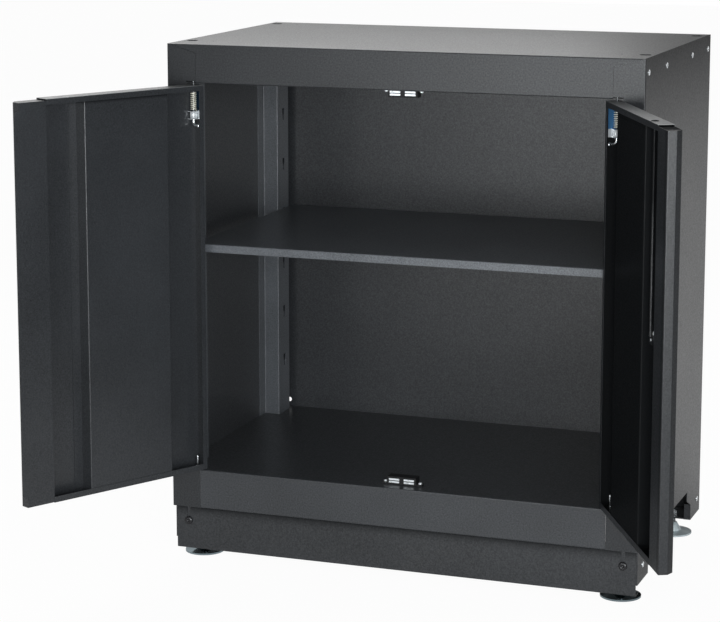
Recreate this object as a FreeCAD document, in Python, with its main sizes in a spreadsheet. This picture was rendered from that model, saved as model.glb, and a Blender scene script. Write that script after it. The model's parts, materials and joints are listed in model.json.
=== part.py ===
import FreeCAD, Part

# Low two-door workshop cabinet of folded steel sheet, both doors open.
# Millimetres. The origin lies on the floor, at mid width, in the plane of the front frame.
# X runs to the right, Y to the back, Z up.

import math
import os

import Sketcher

doc = FreeCAD.newDocument("LowCabinet")
sheet = doc.addObject("Spreadsheet::Sheet", "Sizes")


class Size:
    """A length: its present value and the expression of sheet cells that gives it."""

    def __init__(self, value, text):
        self.value = float(value)
        self.text = text

    @staticmethod
    def of(other):
        if isinstance(other, Size):
            return other
        return Size(other, "({:.9g})".format(float(other)))

    def join(self, other, sign, value):
        return Size(value, "({} {} {})".format(self.text, sign, other.text))

    def __add__(self, other):
        other = Size.of(other)
        return self.join(other, "+", self.value + other.value)

    def __sub__(self, other):
        other = Size.of(other)
        return self.join(other, "-", self.value - other.value)

    def __mul__(self, other):
        other = Size.of(other)
        return self.join(other, "*", self.value * other.value)

    def __truediv__(self, other):
        other = Size.of(other)
        return self.join(other, "/", self.value / other.value)

    def __radd__(self, other):
        return Size.of(other) + self

    def __rsub__(self, other):
        return Size.of(other) - self

    def __rmul__(self, other):
        return Size.of(other) * self

    def __neg__(self):
        return Size.of(0) - self


def cosine(angle):
    return Size(math.cos(math.radians(angle.value)), "cos({} * 1 deg)".format(angle.text))


def sine(angle):
    return Size(math.sin(math.radians(angle.value)), "sin({} * 1 deg)".format(angle.text))


rows = []


def size(name, value):
    """Writes one named size into the sheet and hands it back."""
    rows.append(name)
    row = str(len(rows))
    sheet.set("A" + row, name)
    sheet.set("B" + row, str(value))
    sheet.setAlias("B" + row, name)
    return Size(value, "Sizes." + name)


ZERO = Size.of(0)

# Carcass
width = size("width", 845)
depth = size("depth", 505)
height = size("height", 919)
skin = size("skin", 1.2)
bend = size("bend", 2)
leg_z = size("leg_z", 33)
base_z = size("base_z", 94)
sill_rise = size("sill_rise", 70)
lintel_drop = size("lintel_drop", 67)
pin_notch = size("pin_notch", 3)
stile = size("stile", 35.5)
stile_return = size("stile_return", 15)
tab = size("tab", 53)
mitre_drop = size("mitre_drop", 15)
seam = size("seam", 0.4)
rear_return = size("rear_return", 18)
seam_setback = size("seam_setback", 3)
seam_wide = size("seam_wide", 1.4)
seam_deep = size("seam_deep", 0.6)
back_flange = size("back_flange", 30)
rail_return = size("rail_return", 56)
sill_return = size("sill_return", 40)
leg_width = size("leg_width", 77)
step_run = size("step_run", 32)
step_low = size("step_low", 62)
step_high = size("step_high", 76)
leg_flange = size("leg_flange", 50)
leg_lip = size("leg_lip", 12)
top_hole_r = size("top_hole_r", 10)
top_hole_inset = size("top_hole_inset", 17)
top_hole_front = size("top_hole_front", 70)
top_hole_rear = size("top_hole_rear", 38)
pilot_r = size("pilot_r", 1.9)
pilot_shift = size("pilot_shift", 40)
vent_r = size("vent_r", 4.5)
vent_inset = size("vent_inset", 24.5)
vent_rise = size("vent_rise", 13)
drain_inset = size("drain_inset", 337)
drain_setback = size("drain_setback", 21)
drain_length = size("drain_length", 13)
drain_width = size("drain_width", 3)

# Plinth
plinth_setback = size("plinth_setback", 12.5)
plinth_inset = size("plinth_inset", 2.5)
plinth_z = size("plinth_z", 14)
plinth_gap = size("plinth_gap", 0.3)
plinth_fold = size("plinth_fold", 18)
screw_inset = size("screw_inset", 25)
screw_z = size("screw_z", 65)
screw_head_r = size("screw_head_r", 7.4)
screw_head = size("screw_head", 3)
screw_r = size("screw_r", 3)
screw_length = size("screw_length", 12)
screw_round = size("screw_round", 1.6)
socket_flats = size("socket_flats", 4)
socket_deep = size("socket_deep", 1.8)
hole_play = size("hole_play", 0.3)

# Feet
foot_inset = size("foot_inset", 38)
foot_setback = size("foot_setback", 53)
foot_r = size("foot_r", 35)
foot_rim = size("foot_rim", 3)
foot_dish = size("foot_dish", 6)
hub_base_r = size("hub_base_r", 16)
hub_r = size("hub_r", 8)
hub_z = size("hub_z", 20)
stud_r = size("stud_r", 5)
stud_z = size("stud_z", 62)
bracket_sheet = size("bracket_sheet", 2.5)
bracket_reach = size("bracket_reach", 72)
bracket_lip = size("bracket_lip", 25)
nut_flats = size("nut_flats", 17)
nut_height = size("nut_height", 8)

# Shelf posts, clips and shelf
post_width = size("post_width", 32)
post_run = size("post_run", 72)
post_flange = size("post_flange", 27)
post_gap = size("post_gap", 0.5)
post_clear = size("post_clear", 20)
key_count = size("key_count", 6)
key_rise = size("key_rise", 103)
key_drop = size("key_drop", 105)
key_setback = size("key_setback", 44.5)
key_wide = size("key_wide", 10)
key_narrow = size("key_narrow", 5)
key_head = size("key_head", 8)
key_neck = size("key_neck", 6)
key_tail = size("key_tail", 9)
shelf_row = size("shelf_row", 3)
shelf_lift = size("shelf_lift", 11)
shelf_sheet = size("shelf_sheet", 1)
shelf_lip = size("shelf_lip", 14)
shelf_front = size("shelf_front", 26)
shelf_play = size("shelf_play", 2)
lip_play = size("lip_play", 3)
clip_width = size("clip_width", 14)
clip_reach = size("clip_reach", 13)
clip_drop = size("clip_drop", 24)

# Magnetic catches
catch_front = size("catch_front", 25.5)
catch_length = size("catch_length", 52)
catch_depth = size("catch_depth", 20)
catch_height = size("catch_height", 14)
catch_ear = size("catch_ear", 73)
catch_ear_depth = size("catch_ear_depth", 11)
catch_ear_front = size("catch_ear_front", 2)
catch_ear_sheet = size("catch_ear_sheet", 3)
catch_screw_pitch = size("catch_screw_pitch", 63)
catch_screw_r = size("catch_screw_r", 3.2)
catch_shank_r = size("catch_shank_r", 1.6)
catch_screw_head = size("catch_screw_head", 1.8)
plate_length = size("plate_length", 18.5)
plate_height = size("plate_height", 3)
plate_pitch = size("plate_pitch", 4.6)
plate_depth = size("plate_depth", 9)
plate_proud = size("plate_proud", 1)
plate_split = size("plate_split", 8.5)

# Threaded inserts that join one cabinet to the next
insert_drop = size("insert_drop", 24)
insert_front = size("insert_front", 23)
insert_inner = size("insert_inner", 153)
insert_leg_z = size("insert_leg_z", 60)
insert_leg_front = size("insert_leg_front", 50)
insert_leg_rear = size("insert_leg_rear", 25)
insert_r = size("insert_r", 3.5)
insert_flange_r = size("insert_flange_r", 5)
insert_flange = size("insert_flange", 0.8)
insert_bore_r = size("insert_bore_r", 2.5)
insert_length = size("insert_length", 9)

# Doors, written with the hinge axis as their own origin
open_angle = size("open_angle", 118)
pin_inset = size("pin_inset", 47)
pin_setback = size("pin_setback", 4.4)
pin_r = size("pin_r", 2.6)
door_sheet = size("door_sheet", 1)
door_rise = size("door_rise", 3)
door_head = size("door_head", 3)
hinge_edge = size("hinge_edge", 7.6)
door_front = size("door_front", 7.6)
door_depth_left = size("door_depth_left", 27.2)
door_depth_right = size("door_depth_right", 25.4)
door_gap = size("door_gap", 3)
door_lip = size("door_lip", 10)
end_drop = size("end_drop", 3)
bevel = size("bevel", 10.4)
free_flange = size("free_flange", 53.6)
overlap = size("overlap", 9.5)
overlap_notch = size("overlap_notch", 17)
overlap_round = size("overlap_round", 8)
rib_start = size("rib_start", 69.7)
rib_inset = size("rib_inset", 76.7)
rib_flange = size("rib_flange", 17)

# Sprung upper bolt and lower pivot
bolt_reach = size("bolt_reach", 10)
bolt_tail = size("bolt_tail", 71)
bolt_bend = size("bolt_bend", 6)
bolt_handle = size("bolt_handle", 13)
collar_drop = size("collar_drop", 6)
collar_sheet = size("collar_sheet", 2)
collar_r = size("collar_r", 5.4)
ear_low = size("ear_low", 46)
ear_drop = size("ear_drop", 14)
ear_sheet = size("ear_sheet", 1)
ear_reach = size("ear_reach", 14)
ear_width = size("ear_width", 12)
plate_rise = size("plate_rise", 37)
plate_wide = size("plate_wide", 19)
wire_r = size("wire_r", 0.9)
coil_r = size("coil_r", 4.6)
coil_turns = size("coil_turns", 11)
coil_seat = size("coil_seat", 0.3)
pivot_reach = size("pivot_reach", 12)
pivot_collar_r = size("pivot_collar_r", 6.1)
pivot_play = size("pivot_play", 0.3)
pivot_head = size("pivot_head", 2)
pivot_stem = size("pivot_stem", 19)

# Cam lock with its rod
lock_inset = size("lock_inset", 37.4)
lock_lift = size("lock_lift", 10)
lock_r = size("lock_r", 9.5)
lock_flange_r = size("lock_flange_r", 12)
lock_flange = size("lock_flange", 1.6)
lock_length = size("lock_length", 13)
lock_nut = size("lock_nut", 4)
lock_nut_flats = size("lock_nut_flats", 26)
plug_r = size("plug_r", 6.2)
plug_proud = size("plug_proud", 0.8)
key_slot_length = size("key_slot_length", 7)
key_slot_width = size("key_slot_width", 1.6)
key_slot_deep = size("key_slot_deep", 8)
cam_throw = size("cam_throw", 8.485)
cam_angle = size("cam_angle", 45)
cam_r = size("cam_r", 8)
cam_tip_r = size("cam_tip_r", 4.5)
cam_sheet = size("cam_sheet", 2)
cam_stud_r = size("cam_stud_r", 2)
cam_stud = size("cam_stud", 3.2)
cam_play = size("cam_play", 0.4)
rod_r = size("rod_r", 2.5)
rod_shift = size("rod_shift", 7.24)
rod_reach = size("rod_reach", 1)
rod_eye_width = size("rod_eye_width", 18)
rod_eye_height = size("rod_eye_height", 15)
rod_eye_sheet = size("rod_eye_sheet", 2.2)
rod_slot_half = size("rod_slot_half", 3.8)

doc.recompute()

half = width / 2
left = -half
rear = depth - skin * 2
leg_front = plinth_setback + skin
sill_z = base_z + sill_rise
lintel_z = height - lintel_drop
door_bottom = sill_z + door_rise
door_top = lintel_z - door_head
pin_x = half - pin_inset
free_x = pin_x - door_gap / 2
wall_end = free_x - free_flange
key_first = sill_z + key_rise
key_pitch = (lintel_z - key_drop - key_first) / (key_count - 1)
shelf_z = key_first + key_pitch * shelf_row + shelf_lift
bolt_top = lintel_z + bolt_reach
bolt_bottom = door_top - bolt_tail
collar_z = door_top - collar_drop
ear_z = door_top - ear_low
pivot_bottom = sill_z - pivot_reach
lock_along = wall_end - lock_inset
lock_z = (door_bottom + door_top) / 2 + lock_lift
rod_top = door_top + rod_reach
nodes = []


def bind(thing, path, value):
    """Ties one property of an object to sheet cells."""
    thing.setExpression(path, Size.of(value).text)


def new_body(name):
    body = doc.addObject("PartDesign::Body", name)
    body.Label = name
    nodes.append(body)
    return body


def origin_plane(body, role):
    for feature in body.Origin.OriginFeatures:
        if feature.Role == role:
            return feature
    raise ValueError(role)


def new_sketch(body, plane, level):
    """A sketch parallel to one of the body's own planes; level runs along +X, +Y or +Z."""
    sketch = body.newObject("Sketcher::SketchObject", body.Name + "_sketch")
    sketch.AttachmentSupport = (origin_plane(body, plane + "_Plane"), [""])
    sketch.MapMode = "FlatFace"
    level = Size.of(level)
    if plane == "XZ":
        level = -level
    shift = FreeCAD.Vector(0, 0, level.value)
    sketch.AttachmentOffset = FreeCAD.Placement(shift, FreeCAD.Rotation())
    bind(sketch, "AttachmentOffset.Base.z", level)
    return sketch


def hold(sketch, kind, *args):
    """One dimension of a sketch, tied to the size that is its last argument."""
    value = Size.of(args[-1])
    index = sketch.addConstraint(Sketcher.Constraint(kind, *args[:-1], value.value))
    bind(sketch, "Constraints[{}]".format(index), value)


def add_loop(sketch, corners):
    """A closed polygon whose corners are each held by two sizes."""
    corners = [(Size.of(u), Size.of(v)) for u, v in corners]
    first = sketch.GeometryCount
    count = len(corners)
    flat = [FreeCAD.Vector(u.value, v.value, 0) for u, v in corners]
    for i in range(count):
        sketch.addGeometry(Part.LineSegment(flat[i], flat[(i + 1) % count]), False)
    for i in range(count):
        after = first + (i + 1) % count
        sketch.addConstraint(Sketcher.Constraint("Coincident", first + i, 2, after, 1))
    for i in range(count):
        hold(sketch, "DistanceX", -1, 1, first + i, 1, corners[i][0])
        hold(sketch, "DistanceY", -1, 1, first + i, 1, corners[i][1])


def add_circle(sketch, u, v, radius):
    u, v, radius = Size.of(u), Size.of(v), Size.of(radius)
    circle = Part.Circle(FreeCAD.Vector(u.value, v.value, 0), FreeCAD.Vector(0, 0, 1), radius.value)
    index = sketch.addGeometry(circle, False)
    hold(sketch, "DistanceX", -1, 1, index, 3, u)
    hold(sketch, "DistanceY", -1, 1, index, 3, v)
    hold(sketch, "Radius", index, radius)


def extrude(body, kind, sketch, plane, length, through=False):
    """Pads or pockets a sketch towards +X, +Y or +Z, or cuts it right through."""
    feature = body.newObject("PartDesign::" + kind, body.Name + "_" + kind.lower())
    feature.Profile = sketch
    if through:
        feature.Type = "ThroughAll"
        feature.SideType = "Symmetric"
    else:
        length = Size.of(length)
        feature.Length = length.value
        bind(feature, "Length", length)
        onward = plane != "XZ"
        if kind == "Pocket":
            onward = not onward
        feature.Reversed = not onward
    return feature


def pad(body, plane, level, loops, length, circles=()):
    sketch = new_sketch(body, plane, level)
    for loop in loops:
        add_loop(sketch, loop)
    for circle in circles:
        add_circle(sketch, *circle)
    return extrude(body, "Pad", sketch, plane, length)


def pocket(body, plane, level, loops, length, circles=()):
    """Cuts loops and circles over a length, and stops if nothing was cut."""
    doc.recompute()
    before = body.Shape.Volume
    sketch = new_sketch(body, plane, level)
    for loop in loops:
        add_loop(sketch, loop)
    for circle in circles:
        add_circle(sketch, *circle)
    feature = extrude(body, "Pocket", sketch, plane, length)
    doc.recompute()
    if not body.Shape.Volume < before - 1e-6:
        raise ValueError("nothing cut from " + body.Label)
    return feature


def revolve(body, profile):
    """A turned piece: profile pairs (radius, height) about the body's own Z axis."""
    sketch = new_sketch(body, "XZ", ZERO)
    add_loop(sketch, profile)
    feature = body.newObject("PartDesign::Revolution", body.Name + "_turn")
    feature.Profile = sketch
    feature.ReferenceAxis = (sketch, ["V_Axis"])
    feature.Angle = 360
    return feature


def box(u0, v0, u1, v1):
    return [(u0, v0), (u1, v0), (u1, v1), (u0, v1)]


def flipped(loop, side):
    return [(Size.of(u) * side, v) for u, v in loop]


def folded(path, thickness, side):
    """Section of a folded sheet: the path of one face, and its offset to the left (+1) or right (-1)."""
    path = [(Size.of(u), Size.of(v)) for u, v in path]
    count = len(path)
    normals = []
    for (u0, v0), (u1, v1) in zip(path, path[1:]):
        du = u1.value - u0.value
        dv = v1.value - v0.value
        run = math.hypot(du, dv)
        normals.append((-dv / run * side, du / run * side))
    shifted = []
    for i in range(count):
        before = normals[max(i - 1, 0)]
        after = normals[min(i, count - 2)]
        scale = 1 + before[0] * after[0] + before[1] * after[1]
        mu = round((before[0] + after[0]) / scale, 9)
        mv = round((before[1] + after[1]) / scale, 9)
        shifted.append((path[i][0] + thickness * mu, path[i][1] + thickness * mv))
    return path + shifted[::-1]


def ring_of_flats(u, v, flats):
    """Six corners of a nut, by its width across flats."""
    corners = []
    for i in range(6):
        turn = math.radians(60 * i + 30)
        reach = flats / (2 * math.cos(math.radians(30)))
        corners.append((u + reach * math.cos(turn), v + reach * math.sin(turn)))
    return corners


def round_edges(body, axis, radius, places):
    """Rounds the edges along X, Y or Z that pass through the given pairs of the other two axes."""
    doc.recompute()
    base = body.Tip
    along = "xyz".index(axis.lower())
    others = [i for i in range(3) if i != along]
    names = []
    for number, edge in enumerate(base.Shape.Edges, 1):
        ends = [vertex.Point for vertex in edge.Vertexes]
        if len(ends) != 2 or abs(ends[0][along] - ends[1][along]) < 1e-3:
            continue
        for pair in places:
            pair = [Size.of(value).value for value in pair]
            gaps = [abs(p[others[0]] - pair[0]) + abs(p[others[1]] - pair[1]) for p in ends]
            if max(gaps) < 1e-4:
                names.append("Edge{}".format(number))
    if not names:
        raise ValueError("no edge to round on " + body.Label)
    fillet = body.newObject("PartDesign::Fillet", body.Name + "_round")
    fillet.Base = (base, names)
    fillet.Radius = radius.value
    bind(fillet, "Radius", radius)
    return fillet


def round_rims(body, radius, rim, level):
    """Rounds the circular edges of radius rim that lie in the plane y = level."""
    doc.recompute()
    base = body.Tip
    names = []
    for number, edge in enumerate(base.Shape.Edges, 1):
        curve = edge.Curve
        if isinstance(curve, Part.Circle) and abs(curve.Radius - rim.value) < 1e-4:
            if abs(curve.Center.y - level.value) < 1e-4:
                names.append("Edge{}".format(number))
    if not names:
        raise ValueError("no rim to round on " + body.Label)
    fillet = body.newObject("PartDesign::Fillet", body.Name + "_rim")
    fillet.Base = (base, names)
    fillet.Radius = radius.value
    bind(fillet, "Radius", radius)
    return fillet


def place(body, x, y, z):
    x, y, z = Size.of(x), Size.of(y), Size.of(z)
    body.Placement = FreeCAD.Placement(FreeCAD.Vector(x.value, y.value, z.value), FreeCAD.Rotation())
    bind(body, "Placement.Base.x", x)
    bind(body, "Placement.Base.y", y)
    bind(body, "Placement.Base.z", z)


def mirrored(source, name):
    """The same piece on the other side of the cabinet's middle plane."""
    twin = doc.addObject("Part::Mirroring", name)
    twin.Label = name
    twin.Source = source
    twin.Normal = FreeCAD.Vector(1, 0, 0)
    twin.Base = FreeCAD.Vector(0, 0, 0)
    nodes.append(twin)
    return twin


# Side panel: outer wall with two legs, front stile widened to tabs at rail and sill, folded edges.
rear_leg = depth - leg_width
front_leg_end = leg_front + leg_width
insert_places = [
    (insert_front, height - insert_drop),
    (insert_inner, height - insert_drop),
    (depth - insert_inner, height - insert_drop),
    (depth - insert_front, height - insert_drop),
    (insert_leg_front, insert_leg_z),
    (depth - insert_leg_rear, insert_leg_z),
]
side_panel = new_body("side_panel_left")
wall = [
    (ZERO, base_z),
    (leg_front, base_z),
    (leg_front, leg_z),
    (front_leg_end, leg_z),
    (front_leg_end, step_low),
    (front_leg_end + step_run, step_high),
    (front_leg_end + step_run, base_z),
    (rear_leg - step_run, base_z),
    (rear_leg - step_run, step_high),
    (rear_leg, step_low),
    (rear_leg, leg_z),
    (depth, leg_z),
    (depth, height),
    (ZERO, height),
]
pad(side_panel, "YZ", left, [wall], skin)
stile_edge = left + stile
tab_edge = left + tab
stile_face = [
    (left, base_z),
    (tab_edge, base_z),
    (tab_edge, sill_z),
    (stile_edge, sill_z),
    (stile_edge, lintel_z + pin_notch),
    (tab_edge, lintel_z + pin_notch),
    (tab_edge, height - mitre_drop),
    (left, height),
]
pad(side_panel, "XZ", ZERO, [stile_face], skin)
pad(side_panel, "YZ", stile_edge - skin, [box(ZERO, sill_z, stile_return, lintel_z)], skin)
pad(side_panel, "XZ", depth - skin, [box(left, base_z, left + rear_return, height - back_flange)], skin)
leg_plate = box(left, leg_z, left + leg_flange, base_z)
pad(side_panel, "XZ", leg_front, [leg_plate], skin, [(left + screw_inset, screw_z, screw_r + hole_play)])
pad(side_panel, "XZ", depth - skin, [leg_plate], skin)
lip_plate = box(left, leg_z, left + leg_lip, step_low)
pad(side_panel, "XZ", front_leg_end - skin, [lip_plate], skin)
pad(side_panel, "XZ", rear_leg, [lip_plate], skin)
pocket(side_panel, "YZ", left, [], skin, [(y, z, insert_r) for y, z in insert_places])
corner_groove = box(seam_setback, base_z, seam_setback + seam_wide, height - skin * 2)
pocket(side_panel, "YZ", left, [corner_groove], seam_deep)
round_edges(side_panel, "Z", bend, [(left, ZERO)])
mirrored(side_panel, "side_panel_right")

# Top panel: one sheet folded into lower return, front rail, top and back flange.
top_panel = new_body("top_panel")
rail_path = [
    (rail_return, lintel_z),
    (ZERO, lintel_z),
    (ZERO, height),
    (depth, height),
    (depth, height - back_flange),
]
pad(top_panel, "YZ", left + skin, [folded(rail_path, skin, -1)], width - skin * 2)
round_edges(top_panel, "X", bend, [(ZERO, lintel_z), (ZERO, height), (depth, height)])
rail_corner = [
    (left, lintel_z),
    (tab_edge + seam, lintel_z),
    (tab_edge + seam, height - mitre_drop + seam),
    (left, height + seam),
]
pocket(top_panel, "XZ", ZERO, [rail_corner, flipped(rail_corner, -1)], skin)
top_holes = []
for side in (-1, 1):
    for y in (top_hole_front, depth - top_hole_rear):
        top_holes.append(((half - top_hole_inset) * side, y, top_hole_r))
        top_holes.append(((half - top_hole_inset - pilot_shift) * side, y, pilot_r))
pocket(top_panel, "XY", height - skin, [], skin, top_holes)
rod_along = lock_along - rod_shift
barrel_end = lock_length - door_front
cam_front = barrel_end + cam_play
eye_y = cam_front + cam_sheet + cam_play
rod_y = eye_y + rod_r
rail_holes = [
    (-pin_x, pin_setback, pin_r + hole_play),
    (pin_x, pin_setback, pin_r + hole_play),
    (pin_x - rod_along, pin_setback + rod_y, rod_r + cam_play),
]
pocket(top_panel, "XY", lintel_z, [], skin, rail_holes)

# Floor panel: lower return, sill, floor and a flange down behind.
floor_panel = new_body("floor_panel")
sill_path = [
    (sill_return, base_z),
    (ZERO, base_z),
    (ZERO, sill_z),
    (rear, sill_z),
    (rear, sill_z - back_flange),
]
pad(floor_panel, "YZ", left + skin, [folded(sill_path, skin, -1)], width - skin * 2)
round_edges(floor_panel, "X", bend, [(ZERO, base_z), (ZERO, sill_z)])
sill_corner = box(left, base_z, tab_edge + seam, sill_z)
pocket(floor_panel, "XZ", ZERO, [sill_corner, flipped(sill_corner, -1)], skin)
drain_x = drain_inset - half
drain = box(drain_x, drain_setback, drain_x + drain_length, drain_setback + drain_width)
pivot_holes = [(pin_x * side, pin_setback, pin_r + hole_play) for side in (-1, 1)]
pocket(floor_panel, "XY", sill_z - skin, [drain, flipped(drain, -1)], skin, pivot_holes)

# Back panel between the side walls, with a hole low in each corner.
back_panel = new_body("back_panel")
vents = [((half - vent_inset) * side, sill_z + vent_rise, vent_r) for side in (-1, 1)]
back_loop = box(left + skin, base_z, half - skin, height - skin)
pad(back_panel, "XZ", rear, [back_loop], skin, vents)

# Plinth panel, hung with two open slots on a pair of screws.
plinth_panel = new_body("plinth_panel")
plinth_top = base_z - plinth_gap
slot_low = screw_z - screw_r - hole_play
slot_half = screw_r + hole_play
slot_x = half - screw_inset
plinth_edge = half - plinth_inset
plinth_loop = [
    (-plinth_edge, plinth_z),
    (plinth_edge, plinth_z),
    (plinth_edge, plinth_top),
    (slot_x + slot_half, plinth_top),
    (slot_x + slot_half, slot_low),
    (slot_x - slot_half, slot_low),
    (slot_x - slot_half, plinth_top),
    (slot_half - slot_x, plinth_top),
    (slot_half - slot_x, slot_low),
    (-slot_x - slot_half, slot_low),
    (-slot_x - slot_half, plinth_top),
    (-plinth_edge, plinth_top),
]
pad(plinth_panel, "XZ", plinth_setback, [plinth_loop], skin)
plinth_hem = box(-plinth_edge, plinth_setback, plinth_edge, plinth_setback + plinth_fold)
pad(plinth_panel, "XY", plinth_z, [plinth_hem], skin)
round_edges(plinth_panel, "X", bend, [(plinth_setback, plinth_z)])

plinth_screws = new_body("plinth_screws")
screw_spots = [(slot_x * side, screw_z) for side in (-1, 1)]
head_y = plinth_setback - screw_head
pad(plinth_screws, "XZ", head_y, [], screw_head, [(x, z, screw_head_r) for x, z in screw_spots])
pad(plinth_screws, "XZ", plinth_setback, [], screw_length, [(x, z, screw_r) for x, z in screw_spots])
round_rims(plinth_screws, screw_round, screw_head_r, head_y)
sockets = [ring_of_flats(x, z, socket_flats) for x, z in screw_spots]
pocket(plinth_screws, "XZ", head_y, sockets, socket_deep)

# Brackets that carry the feet: an upright on the leg wall, a seat and an inner lip.
seat_x = left + skin
bracket_path = [
    (seat_x, base_z - plinth_gap),
    (seat_x, leg_z),
    (seat_x + bracket_reach, leg_z),
    (seat_x + bracket_reach, leg_z + bracket_lip),
]
foot_x = half - foot_inset
foot_rows = [
    ("front", foot_setback, leg_front + skin, leg_width - skin * 2, insert_leg_front),
    ("rear", depth - foot_setback, rear_leg + skin, leg_width - skin * 2, depth - insert_leg_rear),
]
for row, foot_y, start, run, insert_y in foot_rows:
    bracket = new_body("foot_bracket_{}_left".format(row))
    pad(bracket, "XZ", start, [folded(bracket_path, bracket_sheet, 1)], run)
    pocket(bracket, "XY", leg_z, [], bracket_sheet, [(-foot_x, foot_y, stud_r + hole_play)])
    pocket(bracket, "YZ", seat_x, [], bracket_sheet, [(insert_y, insert_leg_z, insert_r + hole_play)])
    mirrored(bracket, "foot_bracket_{}_right".format(row))
    for side, word in ((-1, "left"), (1, "right")):
        foot = new_body("foot_{}_{}".format(row, word))
        turned = [
            (ZERO, ZERO),
            (foot_r, ZERO),
            (foot_r, foot_rim),
            (hub_base_r, foot_dish),
            (hub_r, hub_z),
            (stud_r, hub_z),
            (stud_r, stud_z),
            (ZERO, stud_z),
        ]
        revolve(foot, turned)
        place(foot, foot_x * side, foot_y, ZERO)

foot_nuts = new_body("foot_nuts")
foot_spots = [(foot_x * side, row[1]) for row in foot_rows for side in (-1, 1)]
nut_loops = [ring_of_flats(x, y, nut_flats) for x, y in foot_spots]
nut_bores = [(x, y, stud_r + hole_play) for x, y in foot_spots]
pad(foot_nuts, "XY", leg_z + bracket_sheet, nut_loops, nut_height, nut_bores)

# Shelf posts: a flange on the side wall, a face across and an inner face with a row of keyholes.
post_inner = left + post_width


def shelf_post(name, start, way, clear, top):
    """A post that turns at post_run from start; its inner face stops short of start by clear."""
    post = new_body(name)
    end = start + post_run * way
    path = [
        (left + skin, end + post_flange * way),
        (left + skin, end),
        (post_inner - skin, end),
        (post_inner - skin, start + clear * way),
    ]
    pad(post, "XY", sill_z, [folded(path, skin, way)], top - sill_z)
    fold = end + skin * way
    round_edges(post, "Z", bend, [(post_inner, fold), (left + skin * 2, fold)])
    centre = start + key_setback * way
    low = key_first - (key_head + key_neck + key_tail) / 2
    waist = low + key_tail
    shoulder = waist + key_neck
    crown = shoulder + key_head
    keyhole = [
        (centre - key_narrow / 2, low),
        (centre + key_narrow / 2, low),
        (centre + key_narrow / 2, waist),
        (centre + key_wide / 2, shoulder),
        (centre + key_wide / 2, crown),
        (centre - key_wide / 2, crown),
        (centre - key_wide / 2, shoulder),
        (centre - key_narrow / 2, waist),
    ]
    cut = pocket(post, "YZ", post_inner - skin * 2, [keyhole], skin * 4)
    row = post.newObject("PartDesign::LinearPattern", name + "_row")
    row.Originals = [cut]
    row.Direction = (origin_plane(post, "Z_Axis"), [""])
    row.Mode = "Spacing"
    row.Offset = key_pitch.value
    bind(row, "Offset", key_pitch)
    row.Occurrences = int(key_count.value)
    bind(row, "Occurrences", key_count)
    post.Tip = row
    return centre


post_start = stile_return + post_gap
key_rear = shelf_post("rear_post_left", rear, -1, post_clear, height - skin)
mirrored(nodes[-1], "rear_post_right")
key_front = shelf_post("front_post_left", post_start, 1, ZERO, lintel_z)
mirrored(nodes[-1], "front_post_right")

# Clips that hook into the keyholes and carry the shelf.
clips = new_body("shelf_clips")
clip_top = shelf_z - shelf_sheet
clip_path = [
    (post_inner, clip_top - clip_drop),
    (post_inner, clip_top),
    (post_inner + clip_reach, clip_top),
]
clip_loop = folded(clip_path, skin, -1)
for centre in (key_front, key_rear):
    pad(clips, "XZ", centre - clip_width / 2, [clip_loop, flipped(clip_loop, -1)], clip_width)

# Shelf: a sheet that fits between the posts, with folded lips in front, behind and at the sides.
shelf = new_body("shelf")
shelf_half = half - post_width - shelf_play
shelf_rear = rear - shelf_play
pad(shelf, "XY", shelf_z - shelf_sheet, [box(-shelf_half, shelf_front, shelf_half, shelf_rear)], shelf_sheet)
lip_loop = box(-shelf_half, shelf_z - shelf_lip, shelf_half, shelf_z)
pad(shelf, "XZ", shelf_front, [lip_loop], shelf_sheet)
pad(shelf, "XZ", shelf_rear - shelf_sheet, [lip_loop], shelf_sheet)
lip_front = post_start + post_run + lip_play
lip_rear = rear - post_run - lip_play
side_lip = box(lip_front, shelf_z - shelf_lip, lip_rear, shelf_z)
pad(shelf, "YZ", shelf_half - shelf_sheet, [side_lip], shelf_sheet)
pad(shelf, "YZ", -shelf_half, [side_lip], shelf_sheet)
round_edges(shelf, "X", bend, [(shelf_front, shelf_z), (shelf_rear, shelf_z)])


# Magnetic catches: a housing with ears, two pairs of steel plates in it and two screws.
def catch(word, seat, way):
    """A catch on the seat level; way is +1 where it stands up and -1 where it hangs."""
    housing = new_body("catch_housing_" + word)
    under = seat if way > 0 else seat - catch_height
    across = catch_length / 2
    ear_base = seat if way > 0 else seat - catch_ear_sheet
    rear_y = catch_front + catch_depth
    ear_y = catch_front + catch_ear_front
    screw_y = ear_y + catch_ear_depth / 2
    block = box(-across, catch_front, across, rear_y)
    pad(housing, "XY", under, [block], catch_height)
    ears = box(-catch_ear / 2, ear_y, catch_ear / 2, ear_y + catch_ear_depth)
    shanks = [(catch_screw_pitch / 2 * side, screw_y, catch_shank_r) for side in (-1, 1)]
    pad(housing, "XY", ear_base, [ears], catch_ear_sheet)
    middle = seat + catch_height / 2 * way
    slots = []
    for side in (-1, 1):
        near = plate_split / 2 * side
        far = near + plate_length * side
        for row in (-1, 1):
            level = middle + plate_pitch / 2 * row
            slots.append(box(near, level - plate_height / 2, far, level + plate_height / 2))
    pocket(housing, "XZ", catch_front, slots, plate_depth - plate_proud)
    pocket(housing, "XY", ear_base, [], catch_ear_sheet, shanks)
    plates = new_body("catch_plates_" + word)
    pad(plates, "XZ", catch_front - plate_proud, slots, plate_depth)
    screws = new_body("catch_screws_" + word)
    heads = [(x, y, catch_screw_r) for x, y, r in shanks]
    head_base = seat + catch_ear_sheet if way > 0 else seat - catch_ear_sheet - catch_screw_head
    pad(screws, "XY", head_base, [], catch_screw_head, heads)
    pad(screws, "XY", ear_base, [], catch_ear_sheet, shanks)


catch("upper", lintel_z, -1)
catch("lower", sill_z, 1)

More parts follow.
